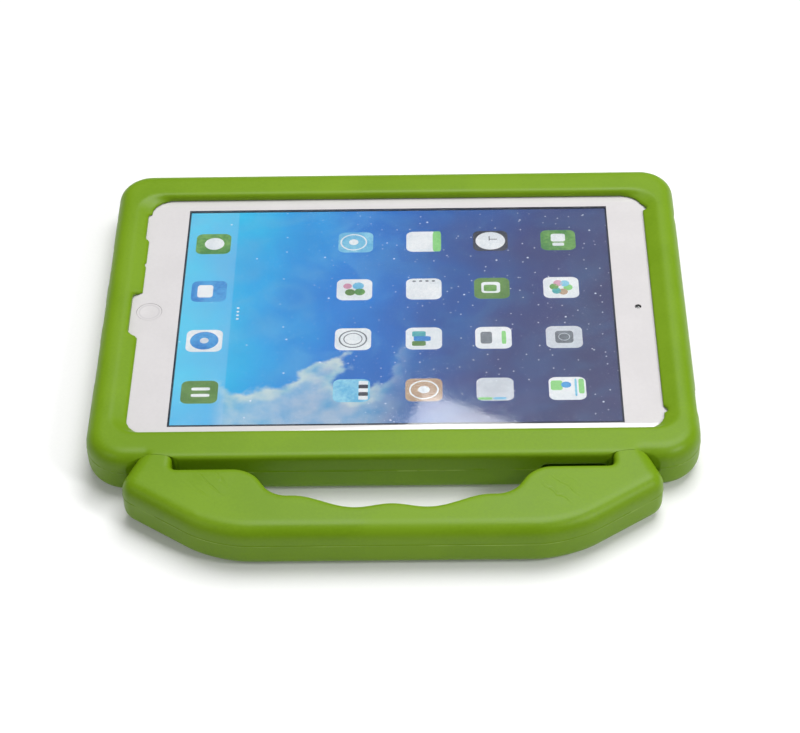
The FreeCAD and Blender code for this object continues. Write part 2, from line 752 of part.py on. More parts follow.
def make_display_and_power():
    """The display under the glass, the two battery cells and the logic board with its chips."""
    panel_z = f"{GLASS_BOTTOM} - display_height"
    make_slab("display_panel", "display_length", "display_width", "display_height", z=panel_z)
    for side, sign in SIDES:
        middle = f"{sign} * cell_middle"
        sizes = ("cell_length", "cell_width", "cell_height")
        make_slab(f"battery_cell_{side}", *sizes, x=middle, corner="cell_corner")
    board = make_slab("logic_board", "board_length", "board_width", "board_height", x="board_middle")
    for index in (-1, 0, 1):
        surface = f"{INSIDE_FLOOR} + board_height"
        chip = new_sketch(board, f"Chip{index + 2}", "XY_Plane", surface)
        place = "0" if index == 0 else f"{index} * chip_pitch"
        draw_box(chip, "chip_size", "chip_size", "board_middle", place)
        pad(board, chip, "chip_height")


def make_sockets():
    """The charging socket and the two speakers at the left end, and the headphone socket."""
    start = "-tablet_length / 2 + tablet_wall"
    floor = f"{PORT_Z} - socket_height / 2"
    middle = f"{start} + socket_length / 2"
    body = make_slab("charging_socket", "socket_length", "socket_width", "socket_height", middle, z=floor)
    mouth = new_sketch(body, "Mouth", "YZ_Plane", start)
    draw_box(mouth, "socket_mouth_width", "socket_mouth_height", "0", PORT_Z)
    pocket(body, mouth, "socket_length - socket_wall", along_normal=True)
    for name, place in (("far", "speaker_middle"), ("near", "-speaker_middle")):
        sizes = ("speaker_length", "speaker_width", "speaker_height")
        make_slab(f"speaker_{name}", *sizes, f"{start} + speaker_length / 2", place)
    jack = new_body("headphone_socket")
    ring = new_sketch(jack, "JackRing", "YZ_Plane", "tablet_length / 2 - tablet_wall")
    draw_circle(ring, "jack_radius", "jack_y", PORT_Z)
    draw_circle(ring, "jack_bore", "jack_y", PORT_Z)
    barrel = pad(jack, ring, "jack_length")
    barrel.Reversed = True


def make_cameras():
    """The front camera under the glass, and the rear camera with its lens in the back."""
    top = f"{GLASS_BOTTOM} - front_camera_height"
    size = "front_camera_size"
    height = "front_camera_height - front_lens_height"
    front = make_slab("front_camera", size, size, height, "lens_middle", "0", top)
    lens = new_sketch(front, "FrontLens", "XY_Plane", f"{GLASS_BOTTOM} - front_lens_height")
    draw_circle(lens, "front_lens_radius", "lens_middle", "0")
    pad(front, lens, "front_lens_height")
    place = ("rear_camera_x", "-rear_camera_y")
    size = "rear_camera_size"
    rear = make_slab("rear_camera", size, size, "rear_camera_height", *place)
    barrel = new_sketch(rear, "RearBarrel", "XY_Plane", INSIDE_FLOOR)
    draw_circle(barrel, "rear_barrel_radius", *place)
    stub = pad(rear, barrel, "tablet_floor - rear_lens_height")
    stub.Reversed = True
    lens = new_body("rear_lens")
    disc = new_sketch(lens, "RearLens", "XY_Plane", "back_wall")
    draw_circle(disc, "rear_lens_radius", *place)
    pad(lens, disc, "rear_lens_height")


# ---------------------------------------------------------------- checks and files


def write_parts():
    """Stops if an object failed or a piece is no valid solid, then writes one STEP per piece."""
    DOCUMENT.recompute()
    for item in DOCUMENT.Objects:
        if "Invalid" in item.State or "Error" in item.State:
            raise ValueError(f"{item.Label} failed: {item.State}")
    pieces = [item for item in DOCUMENT.Objects if item.TypeId == "PartDesign::Body"]
    for piece in pieces:
        if piece.Shape.isNull() or not piece.Shape.isValid() or not piece.Shape.Solids:
            raise ValueError(f"{piece.Label} is no valid solid")
    os.makedirs("parts", exist_ok=True)
    for piece in pieces:
        piece.Shape.exportStep(f"parts/{piece.Label}.step")
        print(f"{piece.Label}: {piece.Shape.Volume:.1f} mm3")


def main():
    """Builds every piece and writes it."""
    fill_sheet()
    make_case_shell()
    make_handle()
    make_hinges()
    make_housing()
    make_glass()
    make_home_button()
    make_side_keys()
    make_display_and_power()
    make_sockets()
    make_cameras()
    write_parts()


main()
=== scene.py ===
"""A child's foam tablet case with a folding carry handle, and the small tablet that lies in it.

The foam pieces, the bordered pane and the icons on the lit screen are modelled here. The other pieces
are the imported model's own and get their finishes. Plan sizes are millimetres from the middle of the
case, with X along it, Y away from the handle and Z up from the face that it lies on.
"""

import logging
import math
from contextlib import contextmanager
from dataclasses import dataclass, field
from enum import Enum
from typing import Any, Callable, Iterator

import bmesh
import bpy
from mathutils import Matrix, Vector


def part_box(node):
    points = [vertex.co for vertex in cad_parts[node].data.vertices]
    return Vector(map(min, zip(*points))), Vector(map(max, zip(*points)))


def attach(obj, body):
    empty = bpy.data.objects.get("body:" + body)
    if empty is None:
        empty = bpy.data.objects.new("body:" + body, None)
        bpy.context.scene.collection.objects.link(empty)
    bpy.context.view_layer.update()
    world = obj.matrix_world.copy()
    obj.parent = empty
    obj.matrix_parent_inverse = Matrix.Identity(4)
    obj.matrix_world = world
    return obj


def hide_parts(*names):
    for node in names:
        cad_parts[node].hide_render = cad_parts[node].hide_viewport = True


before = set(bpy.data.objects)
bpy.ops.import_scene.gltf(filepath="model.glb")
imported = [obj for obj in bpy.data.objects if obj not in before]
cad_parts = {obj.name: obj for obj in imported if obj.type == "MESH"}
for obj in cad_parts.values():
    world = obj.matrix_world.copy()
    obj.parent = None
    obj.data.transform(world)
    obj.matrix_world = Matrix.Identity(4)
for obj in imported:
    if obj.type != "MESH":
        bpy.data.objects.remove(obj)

LOG = logging.getLogger("tablet_case")
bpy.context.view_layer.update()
MM = 0.001
MIDDLE_Y = sum(corner.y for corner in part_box("case_shell")) / 2
PICTURE = (0.9, -1.3)
SKIN_INSET = 0.05
PAST = 2.0
Piece = bpy.types.Object
Socket = bpy.types.NodeSocket
Node = bpy.types.Node
Material = bpy.types.Material
Point = tuple[float, float, float]
Colour = tuple[float, float, float, float]
EdgeTest = Callable[[bmesh.types.BMEdge], bool]


def tint(red: int, green: int, blue: int) -> Colour:
    """A colour from its 8-bit screen values.

    Args:
        red: Red, 0 to 255.
        green: Green, 0 to 255.
        blue: Blue, 0 to 255.

    Returns:
        The linear colour that shaders take.
    """
    parts = [part / 255 for part in (red, green, blue)]
    linear = [part / 12.92 if part < 0.04045 else ((part + 0.055) / 1.055) ** 2.4 for part in parts]
    return (linear[0], linear[1], linear[2], 1.0)


# ------------------------------------------------------------------------------ modelling tools


class Part(Enum):
    """What edit mode selects."""

    VERTEX = "VERT"
    EDGE = "EDGE"
    FACE = "FACE"


class Joining(Enum):
    """How one solid changes another."""

    CUT = "DIFFERENCE"
    ADD = "UNION"


def place(x: float, y: float, z: float) -> Vector:
    """A point in metres in the row frame.

    Args:
        x: Millimetres along the case.
        y: Millimetres across it, from its middle.
        z: Millimetres up.

    Returns:
        The point.
    """
    return Vector((x * MM, y * MM + MIDDLE_Y, z * MM))


def spot(point: Vector) -> Vector:
    """The plan place of a mesh point, in millimetres from the middle of the case."""
    return Vector((point.x, point.y - MIDDLE_Y, point.z)) / MM


def focus(piece: Piece) -> None:
    """Makes a piece the only selected one, and active."""
    bpy.ops.object.select_all(action="DESELECT")
    piece.select_set(True)
    bpy.context.view_layer.objects.active = piece


@contextmanager
def editing(piece: Piece) -> Iterator[None]:
    """Edit mode on one piece, with nothing selected at first."""
    focus(piece)
    bpy.ops.object.mode_set(mode="EDIT")
    bpy.ops.mesh.select_all(action="DESELECT")
    yield
    bpy.ops.object.mode_set(mode="OBJECT")


def pick(piece: Piece, part: Part, wanted: Callable[[Any], bool]) -> None:
    """Selects parts of the piece in edit mode.

    Args:
        piece: The piece in edit mode.
        part: What to select.
        wanted: Says whether a vertex, edge or face is selected.
    """
    bpy.ops.mesh.select_mode(type=part.value)
    bpy.ops.mesh.select_all(action="DESELECT")
    mesh = bmesh.from_edit_mesh(piece.data)
    for item in {Part.VERTEX: mesh.verts, Part.EDGE: mesh.edges, Part.FACE: mesh.faces}[part]:
        if wanted(item):
            item.select_set(True)
    mesh.select_flush_mode()
    bmesh.update_edit_mesh(piece.data)


def ends(edge: bmesh.types.BMEdge) -> tuple[Vector, Vector]:
    """Both ends of an edge, as plan places."""
    return spot(edge.verts[0].co), spot(edge.verts[1].co)


def upright_at(x: float, y: float) -> EdgeTest:
    """A test for an upright edge at a distance from the middle on either side, and at y.

    Args:
        x: Distance from the middle, in millimetres.
        y: Place across the case, in millimetres.

    Returns:
        The test.
    """

    exact, near = 0.02, 0.05

    def stands_there(edge: bmesh.types.BMEdge) -> bool:
        """Whether the edge is upright and at that place."""
        a, b = ends(edge)
        upright = abs(a.x - b.x) < exact and abs(a.y - b.y) < exact
        return upright and abs(abs(a.x) - abs(x)) < near and abs(a.y - y) < near

    return stands_there


def runs_along(axis: int, least: float) -> EdgeTest:
    """A test for an edge that goes further than least along one axis.

    Args:
        axis: 0, 1 or 2 for X, Y or Z.
        least: How far, in millimetres.

    Returns:
        The test.
    """
    return lambda edge: abs(ends(edge)[0][axis] - ends(edge)[1][axis]) > least


def lies_above(level: float) -> EdgeTest:
    """A test for an edge that is above a level all along.

    Args:
        level: The level in millimetres.

    Returns:
        The test.
    """
    return lambda edge: min(end.z for end in ends(edge)) > level


def bevel(piece: Piece, radius: float, segments: int, wanted: Callable[[Any], bool]) -> None:
    """Rounds the edges that a test picks.

    Args:
        piece: The piece to change.
        radius: Radius in millimetres.
        segments: Faces across the rounding.
        wanted: The test of an edge.
    """
    with editing(piece):
        pick(piece, Part.EDGE, wanted)
        bpy.ops.mesh.bevel(
            offset=radius * MM, segments=segments, profile=0.5, affect="EDGES", clamp_overlap=False
        )


def split(through: Point, normal: Point, **settings: bool) -> None:
    """Cuts the whole piece in edit mode by a plane.

    Args:
        through: A plan place on the plane.
        normal: The plane's direction.
        settings: What is closed and dropped, for the bisect operator.
    """
    bpy.ops.mesh.select_all(action="SELECT")
    bpy.ops.mesh.bisect(plane_co=place(*through), plane_no=normal, **settings)


def extrude(*move: float) -> None:
    """Extrudes what is selected by a move in X, Y and Z, in millimetres."""
    bpy.ops.mesh.extrude_region_move(TRANSFORM_OT_translate={"value": [part * MM for part in move]})


def slice_off(piece: Piece, through: Point, normal: Point) -> None:
    """Cuts a piece by a plane and closes it, and drops what lies on the normal's side.

    Args:
        piece: The piece to change.
        through: A plan place on the plane.
        normal: The direction of what is dropped.
    """
    with editing(piece):
        split(through, normal, use_fill=True, clear_outer=True)


def block(name: str, low: Point, high: Point) -> Piece:
    """A box between two corners, in plan places.

    Args:
        name: The object's name.
        low: The lowest corner.
        high: The highest corner.

    Returns:
        The box.
    """
    bpy.ops.object.select_all(action="DESELECT")
    middle = place(*((a + b) / 2 for a, b in zip(low, high)))
    size = [(b - a) * MM for a, b in zip(low, high)]
    bpy.ops.mesh.primitive_cube_add(size=1, location=middle, scale=size)
    piece = bpy.context.object
    piece.name = name
    bpy.ops.object.transform_apply(location=True, rotation=False, scale=True)
    return piece


def rod(name: str, radius: float, low: Point, high: Point, sides: int = 64) -> Piece:
    """A round bar from one end's middle to the other's, along X, Y or Z.

    Args:
        name: The object's name.
        radius: Radius in millimetres.
        low: The middle of one end.
        high: The middle of the other end.
        sides: Faces round it.

    Returns:
        The bar.
    """
    bpy.ops.object.select_all(action="DESELECT")
    start, end = place(*low), place(*high)
    turn = Vector((0, 0, 1)).rotation_difference(end - start).to_euler()
    bpy.ops.mesh.primitive_cylinder_add(
        vertices=sides,
        radius=radius * MM,
        depth=(end - start).length,
        location=(start + end) / 2,
        rotation=turn,
    )
    piece = bpy.context.object
    piece.name = name
    bpy.ops.object.transform_apply(location=True, rotation=True, scale=True)
    return piece


def apply_modifier(piece: Piece, kind: str, **settings: Any) -> None:
    """Adds a modifier to a piece and applies it.

    Args:
        piece: The piece to change.
        kind: The modifier's type.
        settings: The modifier's settings.
    """
    focus(piece)
    modifier = piece.modifiers.new(kind.lower(), kind)
    for name, value in settings.items():
        setattr(modifier, name, value)
    bpy.ops.object.modifier_apply(modifier=modifier.name)


def combine(piece: Piece, joining: Joining, *tools: Piece) -> None:
    """Cuts other solids from a piece, or adds them to it, and removes them.

    Args:
        piece: The piece to change.
        joining: Whether to cut or to add.
        tools: The other solids.
    """
    for tool in tools:
        apply_modifier(piece, "BOOLEAN", operation=joining.value, object=tool, solver="EXACT")
        bpy.data.objects.remove(tool)


def soften(piece: Piece, voxel: float, rounds: int, keep: float) -> None:
    """Gives a piece the soft, even skin of moulded foam.

    Args:
        piece: The piece to change.
        voxel: Size of the skin's squares, in millimetres.
        rounds: How often the skin is smoothed.
        keep: The share of the faces that stays.
    """
    apply_modifier(piece, "REMESH", mode="VOXEL", voxel_size=voxel * MM)
    apply_modifier(piece, "SMOOTH", factor=0.5, iterations=rounds)
    if keep < 1:
        apply_modifier(piece, "DECIMATE", decimate_type="COLLAPSE", ratio=keep)


def raise_seam(piece: Piece, height: float, outside: Callable[[Vector, Vector], bool]) -> None:
    """Raises the fine ridge that the mould's parting leaves round a piece.

    Args:
        piece: The piece to change.
        height: The ridge's height above the floor, in millimetres.
        outside: Says from a plan place and a normal whether the ridge runs there.
    """
    half, proud, sideways = 0.22, 0.13, 0.3
    with editing(piece):
        for level in (height - half, height, height + half):
            split((0, 0, level), (0, 0, 1))

        def on_ridge(vertex: bmesh.types.BMVert) -> bool:
            """Whether a vertex lies on the ridge's top line, on a side face."""
            at = spot(vertex.co)
            level = abs(at.z - height) < half / 4 and abs(vertex.normal.z) < sideways
            return level and outside(at, vertex.normal)

        pick(piece, Part.VERTEX, on_ridge)
        bpy.ops.transform.shrink_fatten(value=proud * MM)


def shade(piece: Piece, angle: float = 180) -> None:
    """Smooths a piece's shading across every edge up to an angle in degrees."""
    focus(piece)
    bpy.ops.object.shade_smooth_by_angle(angle=math.radians(angle))


def finish_piece(piece: Piece, body: str, slot: str, *stands_for: str) -> None:
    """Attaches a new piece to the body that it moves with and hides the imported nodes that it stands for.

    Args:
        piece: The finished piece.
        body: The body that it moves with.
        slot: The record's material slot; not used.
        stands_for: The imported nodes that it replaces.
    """
    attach(piece, body)
    if stands_for:
        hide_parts(*stands_for)
    faces = sum(len(polygon.vertices) - 2 for polygon in piece.data.polygons)
    LOG.info("%s: %d triangles on %s", piece.name, faces, body)


# ------------------------------------------------------------------------------ shared effects


class Graph:
    """Adds nodes to one node tree and links them."""

    def __init__(self, tree: bpy.types.NodeTree) -> None:
        """Keeps the tree."""
        self.tree = tree

    def add(self, kind: str, feeds: dict[Any, Any] | None = None, **settings: Any) -> Node:
        """Adds a node.

        Args:
            kind: The node's type.
            feeds: Input names or numbers, each with a value or with a socket to link from.
            settings: The node's own settings.

        Returns:
            The node.
        """
        node = self.tree.nodes.new(kind)
        for name, value in settings.items():
            setattr(node, name, value)
        for name, value in (feeds or {}).items():
            if isinstance(value, Socket):
                self.tree.links.new(value, node.inputs[name])
            else:
                node.inputs[name].default_value = value
        return node

    def math(self, operation: str, *values: Any) -> Socket:
        """The result of a Math node on values or sockets."""
        feeds = dict(enumerate(values))
        return self.add("ShaderNodeMath", feeds, operation=operation).outputs[0]

    def step(self, value: Any, low: float, high: float, start: float = 0.0, end: float = 1.0) -> Socket:
        """A value that goes smoothly from start to end while the input goes from low to high."""
        feeds = {"Value": value, "From Min": low, "From Max": high, "To Min": start, "To Max": end}
        return self.add("ShaderNodeMapRange", feeds, interpolation_type="SMOOTHSTEP").outputs[0]

    def mix(self, share: Any, first: Any, second: Any, how: str = "MIX") -> Socket:
        """Two colours mixed by a share."""
        feeds = {0: share, 6: first, 7: second}
        return self.add("ShaderNodeMix", feeds, data_type="RGBA", blend_type=how).outputs[2]

    def ramp(self, value: Any, *stops: tuple[float, Colour]) -> Socket:
        """A colour that a value picks between stops."""
        node = self.add("ShaderNodeValToRGB", {0: value})
        elements = node.color_ramp.elements
        elements[0].position, elements[0].color = stops[0]
        elements[1].position, elements[1].color = stops[-1]
        for position, colour in stops[1:-1]:
            elements.new(position).color = colour
        return node.outputs[0]

    def noise(self, vector: Any, scale: Any, detail: float = 2.0, distortion: float = 0.0) -> Socket:
        """A noise value from 0 to 1."""
        feeds = {"Vector": vector, "Scale": scale, "Detail": detail, "Distortion": distortion}
        return self.add("ShaderNodeTexNoise", feeds).outputs[0]

    def use(self, group: bpy.types.NodeTree, **feeds: Any) -> Node:
        """Places a shared effect with its own values."""
        node = self.tree.nodes.new("ShaderNodeGroup")
        node.node_tree = group
        for name, value in feeds.items():
            socket = node.inputs[name.replace("_", " ").title()]
            if isinstance(value, Socket):
                self.tree.links.new(value, socket)
            else:
                socket.default_value = value
        return node


def new_group(name: str, takes: dict[str, tuple[str, Any]], gives: dict[str, str]) -> tuple[Graph, Any, Any]:
    """Starts a shared effect.

    Args:
        name: The node group's name.
        takes: Input names, each with its kind and value.
        gives: Output names, each with its kind.

    Returns:
        The graph, and its input and output nodes.
    """
    tree = bpy.data.node_groups.new(name, "ShaderNodeTree")
    for label, (kind, value) in takes.items():
        socket = tree.interface.new_socket(label, in_out="INPUT", socket_type=f"NodeSocket{kind}")
        if value is not None:
            socket.default_value = value
    for label, kind in gives.items():
        tree.interface.new_socket(label, in_out="OUTPUT", socket_type=f"NodeSocket{kind}")
    graph = Graph(tree)
    return graph, graph.add("NodeGroupInput"), graph.add("NodeGroupOutput")


def make_mottle() -> bpy.types.NodeTree:
    """Uneven colour in blotches and fine specks, with a roughness that follows it."""
    takes = {
        "Vector": ("Vector", None),
        "Light": ("Color", (1, 1, 1, 1)),
        "Dark": ("Color", (0, 0, 0, 1)),
        "Blotches": ("Float", 40.0),
        "Specks": ("Float", 900.0),
        "Smooth": ("Float", 0.3),
        "Rough": ("Float", 0.5),
    }
    graph, source, result = new_group("uneven_colour", takes, {"Color": "Color", "Roughness": "Float"})
    broad = graph.noise(source.outputs["Vector"], source.outputs["Blotches"], 3.0)
    fine = graph.noise(source.outputs["Vector"], source.outputs["Specks"], 2.0)
    both = graph.math("ADD", graph.math("MULTIPLY", broad, 0.65), graph.math("MULTIPLY", fine, 0.35))
    share = graph.step(both, 0.35, 0.65)
    colour = graph.mix(share, source.outputs["Dark"], source.outputs["Light"])
    feeds = {"Value": share, "To Min": source.outputs["Smooth"], "To Max": source.outputs["Rough"]}
    rough = graph.add("ShaderNodeMapRange", feeds).outputs[0]
    graph.tree.links.new(colour, result.inputs["Color"])
    graph.tree.links.new(rough, result.inputs["Roughness"])
    return graph.tree


def make_skin() -> bpy.types.NodeTree:
    """The fine relief of a moulded skin: a close grain over a gentle waviness."""
    takes = {"Vector": ("Vector", None), "Grain": ("Float", 1800.0), "Waves": ("Float", 70.0)}
    graph, source, result = new_group("moulded_skin", takes, {"Height": "Float"})
    grain = graph.noise(source.outputs["Vector"], source.outputs["Grain"], 2.0)
    waves = graph.noise(source.outputs["Vector"], source.outputs["Waves"], 1.0)
    coarser = graph.math("MULTIPLY", source.outputs["Grain"], 0.7)
    feeds = {"Vector": source.outputs["Vector"], "Scale": coarser}
    pits = graph.add("ShaderNodeTexVoronoi", feeds).outputs["Distance"]
    shallow = graph.math("MULTIPLY", grain, 0.5)
    relief = graph.math("ADD", shallow, graph.math("MULTIPLY", pits, 0.3))
    total = graph.math("ADD", relief, graph.math("MULTIPLY", waves, 1.2))
    graph.tree.links.new(total, result.inputs["Height"])
    return graph.tree


def make_brushing() -> bpy.types.NodeTree:
    """Fine parallel lines, as brushing or blasting leaves them."""
    takes = {"Vector": ("Vector", None), "Pitch": ("Float", 4000.0), "Length": ("Float", 0.04)}
    graph, source, result = new_group("brushed_lines", takes, {"Height": "Float"})
    stretch = graph.add("ShaderNodeCombineXYZ", {0: source.outputs["Length"], 1: 1.0, 2: 1.0}).outputs[0]
    feeds = {0: source.outputs["Vector"], 1: stretch}
    lines = graph.add("ShaderNodeVectorMath", feeds, operation="MULTIPLY").outputs[0]
    graph.tree.links.new(graph.noise(lines, source.outputs["Pitch"], 2.0), result.inputs["Height"])
    return graph.tree


UNEVEN = make_mottle()
SKIN = make_skin()
BRUSHED = make_brushing()


# ------------------------------------------------------------------------------ finishes


@dataclass(frozen=True)
class Finish:
    """A finish with uneven colour and a fine relief."""

    name: str
    light: Colour
    dark: Colour
    smooth: float = 0.3
    rough: float = 0.45
    metallic: float = 0.0
    coat: float = 0.0
    specular: float = 0.5
    blotches: float = 60.0
    grain: float = 1800.0
    relief: float = 0.00002
    brushed: bool = False

    def start(self) -> tuple[Graph, Node, Socket, Material]:
        """A new material with its shader.

        Returns:
            The graph, the shader, the place on the object and the material.
        """
        material = bpy.data.materials.new(self.name)
        material.use_nodes = True
        graph = Graph(material.node_tree)
        shader = material.node_tree.nodes["Principled BSDF"]
        shader.inputs["Metallic"].default_value = self.metallic
        shader.inputs["Coat Weight"].default_value = self.coat
        shader.inputs["Coat Roughness"].default_value = 0.08
        shader.inputs["Specular IOR Level"].default_value = self.specular
        where = graph.add("ShaderNodeTexCoord").outputs["Object"]
        return graph, shader, where, material

    def base(self, graph: Graph, where: Socket) -> Node:
        """The finish's uneven colour."""
        values = {"light": self.light, "dark": self.dark, "blotches": self.blotches}
        return graph.use(UNEVEN, vector=where, smooth=self.smooth, rough=self.rough, **values)

    def height(self, graph: Graph, where: Socket) -> Socket:
        """The finish's fine relief."""
        if self.brushed:
            return graph.use(BRUSHED, vector=where).outputs["Height"]
        return graph.use(SKIN, vector=where, grain=self.grain).outputs["Height"]

    def bump(self, graph: Graph, height: Socket, shader: Node) -> None:
        """Feeds a height to the shader's normal."""
        feeds = {"Strength": 1.0, "Distance": self.relief, "Height": height}
        normal = graph.add("ShaderNodeBump", feeds).outputs[0]
        graph.tree.links.new(normal, shader.inputs["Normal"])

    def colour(self, graph: Graph, where: Any, plain: Socket) -> Socket:
        """The colour over the whole piece, from the uneven one."""
        return plain

    def settle(self, graph: Graph, where: Any, colour: Socket, shader: Node) -> None:
        """Feeds the colour and the relief to the shader."""
        graph.tree.links.new(colour, shader.inputs["Base Color"])
        self.bump(graph, self.height(graph, where), shader)

    def make(self) -> Material:
        """Builds the material.

        Returns:
            The material.
        """
        graph, shader, where, material = self.start()
        uneven = self.base(graph, where)
        graph.tree.links.new(uneven.outputs["Roughness"], shader.inputs["Roughness"])
        self.settle(graph, where, self.colour(graph, where, uneven.outputs["Color"]), shader)
        return material


@dataclass(frozen=True)
class FoamFinish(Finish):
    """Satin moulded foam, with a painted highlight as a paler line along the mould's seam, and faint creases
    where it has been pressed.
    """

    # The seam colour is painted highlight: the light that the seam's fine ridge catches, put in as a paler
    # line.
    seam: Colour = field(default=tint(168, 196, 96))
    seam_height: float = 10.5
    highlight_half_width: float = 0.28
    creases: tuple[Point, ...] = ()
    crease_reach: float = 9.0

    def colour(self, graph: Graph, where: Any, plain: Socket) -> Socket:
        """The foam's colour, with a painted highlight on side faces: a paler line along the seam, in noise
        patches.
        """
        parts = graph.add("ShaderNodeSeparateXYZ", {0: where}).outputs
        facing = graph.add("ShaderNodeSeparateXYZ", {0: graph.add("ShaderNodeNewGeometry").outputs["Normal"]})
        sideways = graph.step(graph.math("ABSOLUTE", facing.outputs[2]), 0.5, 0.2)
        off = graph.math("ABSOLUTE", graph.math("SUBTRACT", parts[2], self.seam_height * MM))
        line = graph.step(off, self.highlight_half_width * MM, self.highlight_half_width * MM / 2)
        # Painted highlight: the paler seam line shows strongly only in noise patches, where the ridge would
        # catch the light.
        highlight_patches = graph.step(graph.noise(where, 55.0, 3.0), 0.45, 0.7, 0.04, 0.6)
        share = graph.math("MULTIPLY", graph.math("MULTIPLY", line, sideways), highlight_patches)
        return graph.mix(share, plain, self.seam)

    def height(self, graph: Graph, where: Socket) -> Socket:
        """The foam's fine relief, with its creases."""
        height = super().height(graph, where)
        for crease in self.creases:
            height = graph.math("ADD", height, self.crease(graph, where, crease))
        return height

    def crease(self, graph: Graph, where: Socket, at: Point) -> Socket:
        """A few shallow crease lines round a place.

        Args:
            graph: The material's graph.
            where: The place on the object.
            at: The middle of the creases, as a plan place.

        Returns:
            Their height.
        """
        feeds = {0: where, 1: place(*at)}
        away = graph.add("ShaderNodeVectorMath", feeds, operation="DISTANCE").outputs["Value"]
        near = graph.step(away, self.crease_reach * MM, self.crease_reach * MM / 4)
        feeds = {"Vector": where, "Scale": 95.0, "Distortion": 5.0, "Detail": 2.0, "Detail Scale": 1.2}
        wave = graph.add("ShaderNodeTexWave", feeds, bands_direction="DIAGONAL").outputs["Fac"]
        lines = graph.step(wave, 0.02, 0.12)
        return graph.math("MULTIPLY", graph.math("MULTIPLY", lines, near), 3.0)


@dataclass(frozen=True)
class GlassFinish(Finish):
    """Clear glass."""

    ior: float = 1.45

    def settle(self, graph: Graph, where: Any, colour: Socket, shader: Node) -> None:
        """Feeds the colour to the shader and makes it clear."""
        graph.tree.links.new(colour, shader.inputs["Base Color"])
        shader.inputs["Transmission Weight"].default_value = 1.0
        shader.inputs["IOR"].default_value = self.ior


@dataclass(frozen=True)
class GlowFinish(Finish):
    """A lit part of the screen: one ink, unevenly lighter and darker in blotches."""

    strength: float = 1.0
    unlit: Colour = field(default=tint(8, 8, 10))

    def settle(self, graph: Graph, where: Any, colour: Socket, shader: Node) -> None:
        """Feeds the colour to the shader's own light."""
        graph.tree.links.new(colour, shader.inputs["Emission Color"])
        shader.inputs["Base Color"].default_value = self.unlit
        shader.inputs["Emission Strength"].default_value = self.strength


@dataclass(frozen=True)
class ButtonFinish(Finish):
    """A white button with a faint grey ring."""

    middle: Point = (0.0, 0.0, 0.0)
    ring: float = 3.7
    ring_half: float = 0.45
    ring_colour: Colour = field(default=tint(194, 191, 193))

    def colour(self, graph: Graph, where: Any, plain: Socket) -> Socket:
        """The button's colour, with the ring round its middle."""
        across = graph.add("ShaderNodeSeparateXYZ", {0: where}).outputs
        flat = graph.add("ShaderNodeCombineXYZ", {0: across[0], 1: across[1]}).outputs[0]
        centre = place(*self.middle)
        feeds = {0: flat, 1: (centre.x, centre.y, 0.0)}
        away = graph.add("ShaderNodeVectorMath", feeds, operation="DISTANCE").outputs["Value"]
        off = graph.math("ABSOLUTE", graph.math("SUBTRACT", away, self.ring * MM))
        line = graph.step(off, self.ring_half * MM, self.ring_half * MM / 3)
        return graph.mix(line, plain, self.ring_colour)


